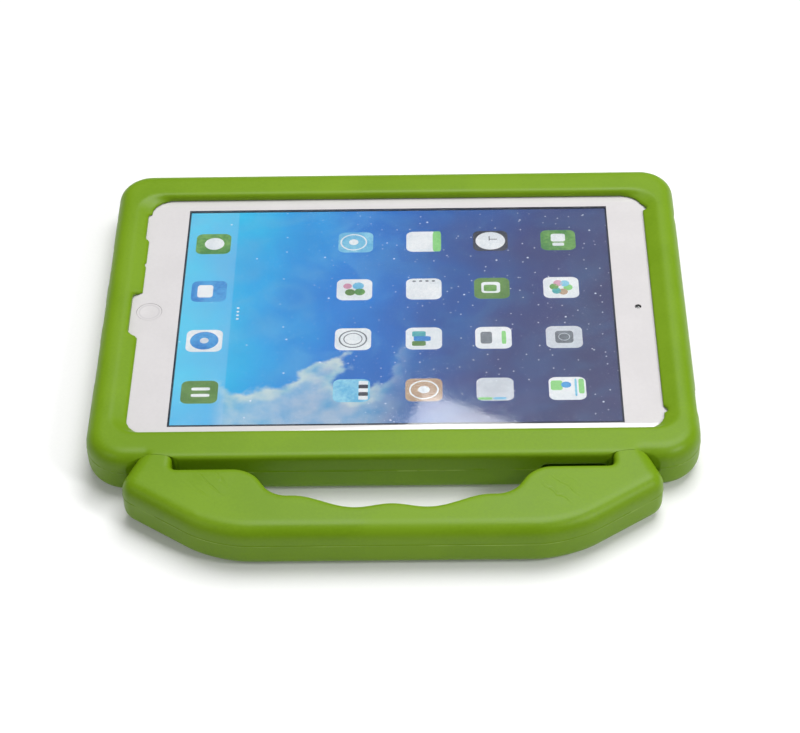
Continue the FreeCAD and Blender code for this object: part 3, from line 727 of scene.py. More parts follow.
@dataclass(frozen=True)
class ScreenFinish(GlowFinish):
    """The lit screen's picture: an evening sky over the whole display, a pale cloud, stars and a band."""

    middle: Point = (0.0, 0.0, 0.0)
    half: tuple[float, float] = (80.2, 60.2)
    frame_line: float = 0.9
    near_line: float = 1.7
    band: float = 61.0
    unlit: Colour = field(default=tint(8, 10, 14))

    def sky(self, graph: Graph, x: Any, y: Any, where: Any) -> Socket:
        """The sky, paler towards the band and violet at the far end."""
        drift = graph.math("MULTIPLY", graph.math("SUBTRACT", graph.noise(where, 22.0, 4.0, 0.6), 0.5), 0.34)
        along = graph.math("ADD", graph.math("MULTIPLY_ADD", x, 0.5, 0.5), drift)
        lean = graph.math("MULTIPLY_ADD", y, -0.07, along)
        stops = (
            (0.0, tint(34, 202, 242)),
            (0.18, tint(18, 162, 232)),
            (0.34, tint(12, 126, 216)),
            (0.48, tint(16, 102, 192)),
            (0.6, tint(32, 82, 160)),
            (0.76, tint(50, 62, 126)),
            (1.0, tint(60, 62, 112)),
        )
        colour = graph.ramp(lean, *stops)
        veil = graph.step(graph.noise(where, 48.0, 6.0, 1.2), 0.42, 0.75, 0.0, 0.34)
        fade = graph.step(x, 0.35, -0.35, 0.25, 1.0)
        return graph.mix(graph.math("MULTIPLY", veil, fade), colour, tint(98, 178, 226))

    def cloud(self, graph: Graph, x: Any, y: Any, where: Any) -> Socket:
        """How much of the pale cloud shows, low at the screen's left."""
        billow = graph.math("SUBTRACT", graph.noise(where, 75.0, 6.0, 0.3), 0.5)
        edge = graph.math("MULTIPLY_ADD", graph.noise(where, 26.0, 2.0), 1.5, -1.26)
        under = graph.math("SUBTRACT", edge, y)
        above = graph.math("MULTIPLY_ADD", billow, 0.6, under)
        rim = graph.math("MULTIPLY", graph.step(above, -0.02, 0.06), graph.step(above, 0.2, 0.06, 0.62, 1.0))
        ends_at = graph.math("MULTIPLY", graph.step(x, 0.1, -0.16), graph.step(x, -0.84, -0.72))
        return graph.math("MULTIPLY", rim, graph.math("MULTIPLY", ends_at, 0.85))

    def stars(self, graph: Graph, where: Any, scale: float, size: float) -> Socket:
        """Scattered small stars, some brighter than others."""
        cells = graph.add("ShaderNodeTexVoronoi", {"Vector": where, "Scale": scale}, voronoi_dimensions="2D")
        dot = graph.step(cells.outputs["Distance"], size, size / 3)
        shine = graph.add("ShaderNodeSeparateXYZ", {0: cells.outputs["Color"]}).outputs[0]
        return graph.math("MULTIPLY", dot, graph.step(shine, 0.35, 1.0))

    def colour(self, graph: Graph, where: Any, plain: Socket) -> Socket:
        """The whole picture.

        Args:
            graph: The material's graph.
            where: The place on the object.
            plain: The uneven colour, which the picture covers.

        Returns:
            The picture's colour.
        """
        centre = place(*self.middle)
        feeds = {0: where, 1: (centre.x, centre.y, centre.z)}
        local = graph.add("ShaderNodeVectorMath", feeds, operation="SUBTRACT").outputs[0]
        parts = graph.add("ShaderNodeSeparateXYZ", {0: local}).outputs
        flat = graph.add("ShaderNodeCombineXYZ", {0: parts[0], 1: parts[1], 2: 0.013}).outputs[0]
        x = graph.math("DIVIDE", parts[0], self.half[0] * MM)
        y = graph.math("DIVIDE", parts[1], self.half[1] * MM)
        colour = self.sky(graph, x, y, flat)
        shades = (0.3, tint(128, 190, 214)), (0.62, tint(214, 226, 220))
        pale = graph.ramp(graph.noise(flat, 130.0, 5.0), *shades)
        colour = graph.mix(self.cloud(graph, x, y, flat), colour, pale)
        thicker = graph.step(x, -0.6, 0.3, 0.1, 0.75)
        many = graph.math("MULTIPLY", self.stars(graph, flat, 210.0, 0.085), thicker)
        stars = graph.math("ADD", many, self.stars(graph, flat, 80.0, 0.042))
        colour = graph.mix(stars, colour, tint(236, 240, 252))
        edge = self.band / self.half[0]
        dock = graph.step(x, -edge + 0.004, -edge - 0.004, 0.0, 0.16)
        colour = graph.mix(dock, colour, tint(196, 222, 250))
        line_x, line_y = (self.frame_line / reach for reach in self.half)
        beside = graph.step(graph.math("ABSOLUTE", x), 1 - line_x, 1 - line_x / 2)
        far = graph.step(y, 1 - line_y, 1 - line_y / 2)
        near = graph.step(y, self.near_line / self.half[1] - 1, (self.near_line - 0.3) / self.half[1] - 1)
        rim = graph.math("MAXIMUM", beside, graph.math("MAXIMUM", far, near))
        return graph.mix(rim, colour, tint(10, 22, 44))


@dataclass(frozen=True)
class BoardFinish(Finish):
    """A circuit board with fine copper lines under its green lacquer."""

    copper: Colour = field(default=tint(96, 122, 62))
    tracks: float = 420.0
    track_width: float = 0.03

    def height(self, graph: Graph, where: Socket) -> Socket:
        """Where the copper lines run."""
        feeds = {"Vector": where, "Scale": self.tracks, "Mortar Size": self.track_width}
        return graph.add("ShaderNodeTexBrick", feeds, offset=0.3).outputs["Fac"]

    def colour(self, graph: Graph, where: Any, plain: Socket) -> Socket:
        """The lacquer's colour, with the copper lines."""
        return graph.mix(self.height(graph, where), plain, self.copper)


class Ink(Enum):
    """The screen's colours, each from its darker to its lighter side."""

    WHITE = (tint(226, 230, 236), tint(244, 245, 248))
    GREEN = (tint(72, 136, 66), tint(126, 176, 92))
    OLIVE = (tint(84, 126, 58), tint(104, 146, 74))
    LIME = (tint(128, 204, 118), tint(150, 218, 136))
    BLUE = (tint(40, 122, 204), tint(78, 164, 226))
    SKY = (tint(96, 178, 222), tint(146, 210, 234))
    TEAL = (tint(64, 158, 168), tint(104, 190, 190))
    GREY = (tint(96, 102, 112), tint(132, 138, 148))
    PALE = (tint(202, 206, 216), tint(220, 224, 232))
    DARK = (tint(40, 44, 58), tint(58, 62, 78))
    SAND = (tint(176, 142, 116), tint(196, 168, 140))
    ROSE = (tint(206, 142, 170), tint(222, 170, 192))


FOAM = FoamFinish(
    "green_foam", tint(110, 145, 8), tint(103, 138, 5), smooth=0.36, rough=0.48, specular=0.26, blotches=35.0,
    relief=0.000025,
)
HANDLE_FOAM = FoamFinish(
    "green_handle_foam", tint(110, 145, 9), tint(103, 138, 5), smooth=0.34, rough=0.46, specular=0.26,
    blotches=35.0, relief=0.000025, creases=((-62.0, -92.0, 18.0), (57.0, -97.0, 18.0)),
)
BORDER = Finish(
    "white_border", tint(206, 203, 204), tint(202, 199, 200), 0.06, 0.1, coat=0.6, relief=0.000001
)
PANE_GLASS = GlassFinish("clear_pane", tint(250, 252, 252), tint(246, 250, 250), 0.02, 0.05)
LENS_GLASS = GlassFinish("lens", tint(90, 92, 120), tint(60, 62, 90), 0.02, 0.05)
ALUMINIUM = Finish(
    "blasted_aluminium", tint(206, 208, 212), tint(192, 194, 199), 0.3, 0.42, metallic=1.0, grain=5200.0,
    relief=0.000006,
)
KEY_METAL = Finish(
    "polished_key", tint(214, 216, 220), tint(200, 203, 208), 0.2, 0.3, metallic=1.0, relief=0.000004,
    brushed=True,
)
STEEL = Finish(
    "brushed_steel", tint(188, 189, 192), tint(160, 162, 166), 0.22, 0.36, metallic=1.0, relief=0.000008,
    brushed=True,
)
FOIL = Finish(
    "cell_foil", tint(70, 72, 78), tint(48, 50, 56), 0.35, 0.5, metallic=0.6, blotches=90.0, relief=0.00004
)
HINGE_PLASTIC = Finish("ivory_plastic", tint(222, 219, 210), tint(206, 203, 194), 0.35, 0.5, relief=0.00001)
BLACK_PLASTIC = Finish("black_plastic", tint(44, 44, 48), tint(28, 28, 31), 0.38, 0.52, relief=0.00001)
BOARD = BoardFinish("circuit_board", tint(34, 92, 62), tint(22, 70, 48), 0.25, 0.4, relief=0.00003)


# ------------------------------------------------------------------------------ the foam pieces


@dataclass
class Hinge:
    """Where the handle turns, shared by the shell and the handle."""

    y: float = -75.2
    z: float = 4.6
    knuckle: float = 4.6
    gap: float = 0.3
    sleeve: float = 2.35
    arm_inner: float = 76.0
    arm_outer: float = 90.4
    side_gap: float = 0.2
    crease: float = -79.3
    crease_gap: float = 0.2
    fold: float = 115.0
    bulge: float = 1.2
    bulge_radius: float = 22.0

    @property
    def middle(self) -> float:
        """How far the arms' middles are from the case's."""
        return (self.arm_inner + self.arm_outer) / 2

    def bulge_rod(self, side: int, wider: float, low: float, high: float) -> Piece:
        """The round end of an arm's top, or the hollow for it.

        Args:
            side: -1 for the left arm and 1 for the right.
            wider: Millimetres added to the radius.
            low: Its lowest height.
            high: Its highest height.

        Returns:
            The solid.
        """
        y = self.crease + self.bulge - self.bulge_radius
        x = side * self.middle
        piece = rod("arm_bulge", self.bulge_radius + wider, (x, y, low), (x, y, high), 96)
        slice_off(piece, (0, self.crease - 1.0, 0), (0, -1, 0))
        return piece


@dataclass
class Shell:
    """The foam tray with its soft rim, end lips, wall holes and hinge notches."""

    hinge: Hinge
    half: tuple[float, float] = (107.4, 79.9)
    height: float = 18.0
    corner_far: float = 12.5
    corner_near: float = 15.0
    edge: float = 5.5
    glass_top: float = 15.0
    floor: float = 7.5
    lip_left: float = 93.6
    lip_right: float = 94.9
    lip_far: float = 64.4
    lip_near: float = 65.6
    lip_edge: float = 0.8
    lip_slope: float = 5.6
    lip_slope_y: float = 1.1
    window_corner: float = 8.0
    space: tuple[float, float] = (100.3, 67.65)
    space_corner: float = 10.3
    shoulder: float = 84.0
    shoulder_edge: float = 1.6
    shoulder_depth: tuple[float, float] = (8.0, 12.0)
    button_notch: tuple[float, float, float] = (3.4, -13.0, 8.6)
    button_flare: float = 1.32
    lip_step: tuple[float, float, float] = (1.3, 41.0, 56.0)
    nick: tuple[float, float] = (0.8, 26.5)
    relief_cuts: tuple[float, float] = (57.0, -56.0)
    relief_radius: float = 2.6
    end_holes: tuple[tuple[float, float], ...] = ((0.0, 16.0), (27.0, 24.0), (-27.0, 24.0))
    sleep_hole: tuple[float, float] = (-50.0, 14.0)
    jack_hole: tuple[float, float] = (53.0, 3.2)
    camera_hole: tuple[float, float, float] = (90.0, -56.8, 6.5)
    hole_half: float = 2.6
    hole_corner: float = 2.4
    port_level: float = 10.7
    key_level: float = 11.25
    seam: float = 10.5
    voxel: float = 0.72

    def tray(self) -> Piece:
        """The tray's outside, before anything is cut from it."""
        half_x, half_y = self.half
        low, top = SKIN_INSET, self.height - SKIN_INSET
        shell = block("foam_shell", (-half_x, -half_y, low), (half_x, half_y, top))
        bevel(shell, self.corner_far, 14, upright_at(half_x, half_y))
        bevel(shell, self.corner_near, 14, upright_at(half_x, -half_y))

        def rim(edge: bmesh.types.BMEdge) -> bool:
            """Whether an edge goes round the top or the bottom."""
            a, b = ends(edge)
            return abs(a.z - b.z) < 0.01 and (a.z < low + 1 or a.z > top - 1)

        bevel(shell, self.edge, 10, rim)
        base, depth = self.shoulder_depth
        shoulder = block("shoulder", (-self.shoulder, -half_y, base), (self.shoulder, depth - half_y, top))

        def near_top(edge: bmesh.types.BMEdge) -> bool:
            """Whether an edge is the shoulder's top edge on the near side."""
            return lies_above(top - 1)(edge) and max(end.y for end in ends(edge)) < 1 - half_y

        bevel(shoulder, self.shoulder_edge, 4, near_top)
        combine(shell, Joining.ADD, shoulder)
        return shell

    def window(self) -> list[Piece]:
        """What is cut for the tablet and for the window over its screen."""
        across, along = self.space
        space = block("tablet_space", (-across, -along, self.floor), (across, along, self.glass_top))
        for side in (1, -1):
            bevel(space, self.space_corner, 10, upright_at(across, side * along))
        low, high = self.glass_top - 1, self.glass_top + self.lip_edge
        window = block("window", (-self.lip_left, -self.lip_near, low), (self.lip_right, self.lip_far, high))
        bevel(window, self.window_corner, 10, runs_along(2, 1))
        slope = self.height - high
        grow_x = 1 + 2 * self.lip_slope / (self.lip_left + self.lip_right)
        grow_y = 1 + 2 * self.lip_slope_y / (self.lip_far + self.lip_near)
        pivot = place((self.lip_right - self.lip_left) / 2, (self.lip_far - self.lip_near) / 2, self.height)
        with editing(window):
            pick(window, Part.FACE, lambda face: face.normal.z > 0.9)
            extrude(0, 0, slope)
            bpy.ops.transform.resize(value=(grow_x, grow_y, 1), center_override=pivot)
            extrude(0, 0, PAST)
            bpy.ops.transform.resize(value=(1.02, 1.02, 1), center_override=pivot)
        return [space, window, *self.notches()]

    def notches(self) -> list[Piece]:
        """The notch round the home button and the small relief cuts at the ends of the lips."""
        low, top, left = self.glass_top - 1, self.height + PAST, -self.lip_left
        depth, near, far = self.button_notch
        button = block("button_notch", (left - depth, near, low), (left + 5, far, top))
        with editing(button):
            pick(button, Part.VERTEX, lambda vertex: spot(vertex.co).x > left)
            pivot = place(left, (near + far) / 2, self.glass_top + 1)
            bpy.ops.transform.resize(value=(1, self.button_flare, 1), center_override=pivot)
        depth, near, far = self.lip_step
        step = block("lip_step", (left - depth, near, low), (left + 4, far, self.glass_top + 1.4))
        radius, y = self.nick
        inside = 0.2
        nick = rod("lip_nick", radius, (left - inside, y, low), (left - inside, y, self.glass_top + PAST), 16)
        cuts = [button, step, nick]
        for y in self.relief_cuts:
            start, end = ((self.lip_right - inside, y, level) for level in (low, self.glass_top + 2.4))
            cuts.append(rod("relief_cut", self.relief_radius, start, end, 3))
        return cuts

    def wall_holes(self) -> list[Piece]:
        """What is cut for the charger, the speakers, the keys, the headphones and the rear camera."""
        inside, outside = 99.0, 109.0
        cuts = [self.wall_hole((-outside, -inside), hole, self.port_level) for hole in self.end_holes]
        cuts.append(self.wall_hole((inside, outside), self.sleep_hole, self.key_level))
        y, radius = self.jack_hole
        cuts.append(rod("jack_hole", radius, (inside, y, self.port_level), (outside, y, self.port_level)))
        keys = block("volume_hole", (51, -82, 8.4), (74, -66.5, 12.5))
        bevel(keys, 1.9, 5, runs_along(1, 5))
        x, y, radius = self.camera_hole
        return [*cuts, keys, rod("camera_hole", radius, (x, y, -PAST), (x, y, 9))]

    def wall_hole(self, x: tuple[float, float], across: tuple[float, float], z: float) -> Piece:
        """A rounded hole through one of the end walls.

        Args:
            x: Where it starts and ends along the case.
            across: Its middle and width across the case.
            z: Its middle height.

        Returns:
            The solid to cut.
        """
        middle, width = across
        low = (x[0], middle - width / 2, z - self.hole_half)
        high = (x[1], middle + width / 2, z + self.hole_half)
        hole = block("wall_hole", low, high)
        bevel(hole, self.hole_corner, 5, runs_along(0, 5))
        return hole

    def hinge_notches(self) -> list[Piece]:
        """What is cut for the handle's arms, with the leaning wall that stops the handle."""
        hinge = self.hinge
        reach = hinge.knuckle + hinge.gap
        lean = math.radians(hinge.fold - 90)
        touch = (hinge.y + reach * math.cos(lean), hinge.z + reach * math.sin(lean))
        cuts = []
        for side in (-1, 1):
            edges = (side * (hinge.arm_inner - hinge.side_gap), side * (hinge.arm_outer + hinge.side_gap))
            low, high = min(edges), max(edges)
            near, top = -self.half[1] - 3.1, self.height + PAST
            cuts.append(block("arm_gap", (low, near, -PAST), (high, hinge.crease, top)))
            cuts.append(block("root_gap", (low, hinge.crease - 1, hinge.z), (high, hinge.y, hinge.z + reach)))
            wedge = block("arm_rest", (low, near, -PAST), (high, hinge.y + 12, touch[1]))
            slice_off(wedge, (0, *touch), (0, math.cos(lean), math.sin(lean)))
            cuts.append(wedge)
            cuts.append(rod("bowl", reach, (low, hinge.y, hinge.z), (high, hinge.y, hinge.z)))
            bore = (low - 5, hinge.y, hinge.z), (high + 5, hinge.y, hinge.z)
            cuts.append(rod("pin_bore", hinge.sleeve, *bore, 32))
            cuts.append(hinge.bulge_rod(side, hinge.crease_gap, 2 * hinge.knuckle + 0.1, top))
        return cuts

    def build(self) -> Piece:
        """Models and dresses the shell.

        Returns:
            The shell.
        """
        shell = self.tray()
        combine(shell, Joining.CUT, *self.window(), *self.wall_holes())
        soften(shell, self.voxel, 5, 0.44)
        combine(shell, Joining.CUT, *self.hinge_notches())

        def outside(at: Vector, normal: Vector) -> bool:
            """Whether a place is on the shell's outer face."""
            far_x, far_y = self.half[0] - 0.6, self.half[1] - 0.6
            corner = math.hypot(max(abs(at.x) - far_x + 14, 0), max(abs(at.y) - far_y + 14, 0)) > 13.4
            return corner and normal.x * at.x / far_x + normal.y * at.y / far_y > 0.3

        raise_seam(shell, self.seam, outside)
        shade(shell, 50)
        shell.data.materials.clear()
        shell.data.materials.append(FOAM.make())
        finish_piece(shell, "case", "foam", "case_shell")
        return shell


@dataclass
class Handle:
    """The foam handle: a grip with finger grooves, two end blocks and two arms with hinge knuckles."""

    hinge: Hinge
    reach: float = 115.5
    half_length: float = 94.1
    corner_y: float = -91.8
    bend_start: float = 60.0
    bend: float = 12.0
    corner: float = 5.0
    block_corner: float = 6.0
    slot_corner: float = 1.8
    grip_corner: float = 5.0
    arm_straight: float = -82.5
    block_y: float = -84.6
    block_end: float = 48.5
    grip_end: float = 40.8
    grip_y: float = -97.4
    groove: tuple[float, float] = (12.3, -103.2)
    groove_start: float = 34.0
    crest_y: float = -101.5
    wave_step: float = 1.0
    outer_line: float = -106.0
    height: float = 18.0
    edge: float = 5.5
    inner_edge: float = 2.0
    seam: float = 10.7
    spare: float = 3.4
    voxel: float = 0.5

    def outline(self) -> Piece:
        """The handle's outer shape, with its bends rounded."""
        half, end = self.half_length, self.hinge.crease + self.spare
        top = self.height - SKIN_INSET
        handle = block("foam_handle", (-half, -self.reach, SKIN_INSET), (half, end, top))
        for side in (-1, 1):
            run = Vector((half - self.bend_start, self.corner_y + self.reach, 0)).normalized()
            slice_off(handle, (side * self.bend_start, -self.reach, 0), (side * run.y, -run.x, 0))
            back = Vector((half - self.hinge.arm_outer, self.arm_straight - self.corner_y, 0)).normalized()
            slice_off(handle, (side * self.hinge.arm_outer, self.arm_straight, 0), (side * back.y, back.x, 0))
        bevel(handle, self.bend, 14, upright_at(self.bend_start, -self.reach))
        bevel(handle, self.corner, 10, upright_at(half, self.corner_y))
        return handle

    def hand_gap(self) -> Piece:
        """What is cut between the arms: the slots, the hand's gap and the finger grooves."""
        inner, top = self.hinge.arm_inner, self.height + PAST
        gap = block("hand_gap", (-inner, self.block_y, -PAST), (inner, -60, top))
        with editing(gap):
            for x in (-self.block_end, self.block_end):
                split((x, 0, 0), (1, 0, 0))

            def near_middle(face: bmesh.types.BMFace) -> bool:
                """Whether a face is the middle of the near wall."""
                at = spot(face.calc_center_median())
                return abs(at.x) < 1 and face.normal.y < -0.9

            pick(gap, Part.FACE, near_middle)
            extrude(0, self.grip_y - self.block_y, 0)
            share = self.grip_end / self.block_end
            bpy.ops.transform.resize(value=(share, 1, 1), center_override=place(0, self.grip_y, 0))
        bevel(gap, self.block_corner, 10, upright_at(self.block_end, self.block_y))
        bevel(gap, self.slot_corner, 6, upright_at(inner, self.block_y))
        bevel(gap, self.grip_corner, 10, upright_at(self.grip_end, self.grip_y))
        self.cut_waves(gap)
        return gap

    def cut_waves(self, gap: Piece) -> None:
        """Gives the hand gap's near wall its two finger grooves."""
        count = round(2 * self.groove_start / self.wave_step)
        places = [-self.groove_start + index * self.wave_step for index in range(count + 1)]
        with editing(gap):
            for x in places:
                split((x, 0, 0), (1, 0, 0))
            for x in places[1:-1]:

                def on_wall(vertex: bmesh.types.BMVert) -> bool:
                    """Whether a vertex is on the near wall, at this slice."""
                    at = spot(vertex.co)
                    return abs(at.x - x) < self.wave_step / 4 and abs(at.y - self.grip_y) < 0.05

                pick(gap, Part.VERTEX, on_wall)
                depth = self.wave(x) - self.grip_y
                bpy.ops.transform.translate(value=(0, depth * MM, 0))

    def wave(self, x: float) -> float:
        """The near wall's place across the case, at x from the handle's middle."""
        groove_x, groove_y = self.groove
        out = abs(x)
        if out > groove_x:
            turn = math.pi * (self.groove_start - out) / (self.groove_start - groove_x)
            return self.grip_y + (groove_y - self.grip_y) * (1 - math.cos(turn)) / 2
        return self.crest_y + (groove_y - self.crest_y) * (1 - math.cos(math.pi * out / groove_x)) / 2

    def roots(self, handle: Piece) -> None:
        """Adds the arms' round ends and the hinge knuckles, with their bores."""
        hinge = self.hinge
        for side in (-1, 1):
            x = sorted((side * hinge.arm_inner, side * hinge.arm_outer))
            near, top = hinge.crease - 2, 2 * hinge.knuckle
            root = block("arm_root", (x[0], near, SKIN_INSET), (x[1], hinge.y, top))
            knuckle = rod("knuckle", hinge.knuckle, (x[0], hinge.y, hinge.z), (x[1], hinge.y, hinge.z))
            combine(handle, Joining.ADD, root, knuckle)
            bore = (x[0] - 1, hinge.y, hinge.z), (x[1] + 1, hinge.y, hinge.z)
            combine(handle, Joining.CUT, rod("sleeve_bore", hinge.sleeve, *bore, 32))

    def trim_arms(self, handle: Piece) -> None:
        """Cuts the arms' tops at the crease, round in plan."""
        hinge = self.hinge
        low, high = 2 * hinge.knuckle + 0.02, self.height + PAST
        for side in (-1, 1):
            x = sorted((side * (hinge.arm_inner - 2), side * (hinge.arm_outer + 2)))
            waste = block("waste", (x[0], hinge.crease - hinge.crease_gap, low), (x[1], hinge.y + 4, high))
            combine(waste, Joining.CUT, hinge.bulge_rod(side, 0, low - 1, high + 1))
            combine(handle, Joining.CUT, waste)

    def build(self) -> Piece:
        """Models and dresses the handle.

        Returns:
            The handle.
        """
        handle = self.outline()
        combine(handle, Joining.CUT, self.hand_gap())

        def level(edge: bmesh.types.BMEdge) -> bool:
            """Whether an edge is level, at the top or the bottom."""
            a, b = ends(edge)
            return abs(a.z - b.z) < 0.01 and (a.z < 0.5 or a.z > self.height - 0.5)

        def inner(edge: bmesh.types.BMEdge) -> bool:
            """Whether an edge goes round the hand's gap."""
            a, b = ends(edge)
            within = max(abs(a.x), abs(b.x)) < self.hinge.arm_inner + 0.1
            return level(edge) and within and min(a.y, b.y) > self.outer_line

        def outer(edge: bmesh.types.BMEdge) -> bool:
            """Whether an edge goes round the handle's outside."""
            at_end = min(end.y for end in ends(edge)) > self.hinge.crease + self.spare - 0.05
            return level(edge) and not inner(edge) and not at_end

        bevel(handle, self.edge, 10, outer)
        bevel(handle, self.inner_edge, 6, inner)
        self.roots(handle)
        soften(handle, self.voxel, 6, 0.85)
        self.trim_arms(handle)

        def outside(at: Vector, normal: Vector) -> bool:
            """Whether a place is on the handle's outer face."""
            return normal.y < 0.2 and (at.y < -101 or abs(at.x) > 88)

        raise_seam(handle, self.seam, outside)
        shade(handle, 50)
        handle.data.materials.clear()
        handle.data.materials.append(HANDLE_FOAM.make())
        finish_piece(handle, "handle", "foam", "handle")
        return handle


# ------------------------------------------------------------------------------ the tablet


class Shape(Enum):
    """The flat shapes that the icons are made of."""

    CARD = "card"
    DISC = "disc"
    RING = "ring"


Stroke = tuple[Shape, Ink, float, float, float, float]


@dataclass
class Pane:
    """The touch pane: glass over the display, inside a white border."""

    half: tuple[float, float] = (99.5, 66.85)
    corner: float = 9.5
    low: float = 14.0
    high: float = 15.0
    window: tuple[float, float] = (80.2, 60.2)
    over_display: float = 0.3
    home: tuple[float, float] = (-90.4, 4.72)
    camera: tuple[float, float] = (89.7, 1.2)

    def build(self) -> Piece:
        """Models and dresses the pane.

        Returns:
            The pane.
        """
        half_x, half_y = self.half
        pane = block("bordered_pane", (-half_x, -half_y, self.low), (half_x, half_y, self.high))
        bevel(pane, self.corner, 12, upright_at(half_x, half_y))
        bevel(pane, self.corner, 12, upright_at(half_x, -half_y))
        bevel(pane, 0.3, 3, lies_above(self.high - 0.01))
        for x, radius in (self.home, self.camera):
            combine(pane, Joining.CUT, rod("round_hole", radius, (x, 0, self.low - 1), (x, 0, self.high + 1)))
        self.camera_window()
        with editing(pane):
            for axis, reach in enumerate(self.window):
                for side in (-1, 1):
                    through = [0.0, 0.0, 0.0]
                    through[axis] = PICTURE[axis] + side * reach
                    split((through[0], through[1], through[2]), (axis == 0, axis == 1, 0))


            def under_window(face: bmesh.types.BMFace) -> bool:
                """Whether a face is the pane's underside, over the display."""
                return self.is_window(face.calc_center_median()) and face.normal.z < -0.9

            pick(pane, Part.FACE, under_window)
            extrude(0, 0, self.over_display)
        pane.data.materials.clear()
        pane.data.materials.append(BORDER.make())
        pane.data.materials.append(PANE_GLASS.make())
        for polygon in pane.data.polygons:
            polygon.material_index = int(self.is_window(polygon.center) and abs(polygon.normal.z) > 0.9)
        shade(pane, 35)
        finish_piece(pane, "case", "front_glass", "front_glass")
        return pane

    def camera_window(self) -> None:
        """Models the small round window over the front camera."""
        x, radius = self.camera
        disc = rod("camera_window", radius - 0.04, (x, 0, self.low + 0.1), (x, 0, self.high - 0.02), 32)
        bevel(disc, 0.1, 2, lies_above(self.high - 0.05))
        disc.data.materials.append(PANE_GLASS.make())
        shade(disc, 35)
        finish_piece(disc, "case", "front_glass")

    def is_window(self, point: Vector) -> bool:
        """Whether a point lies within the window over the display."""
        at = spot(point)
        off_x, off_y = abs(at.x - PICTURE[0]), abs(at.y - PICTURE[1])
        return off_x < self.window[0] + 0.01 and off_y < self.window[1] + 0.01


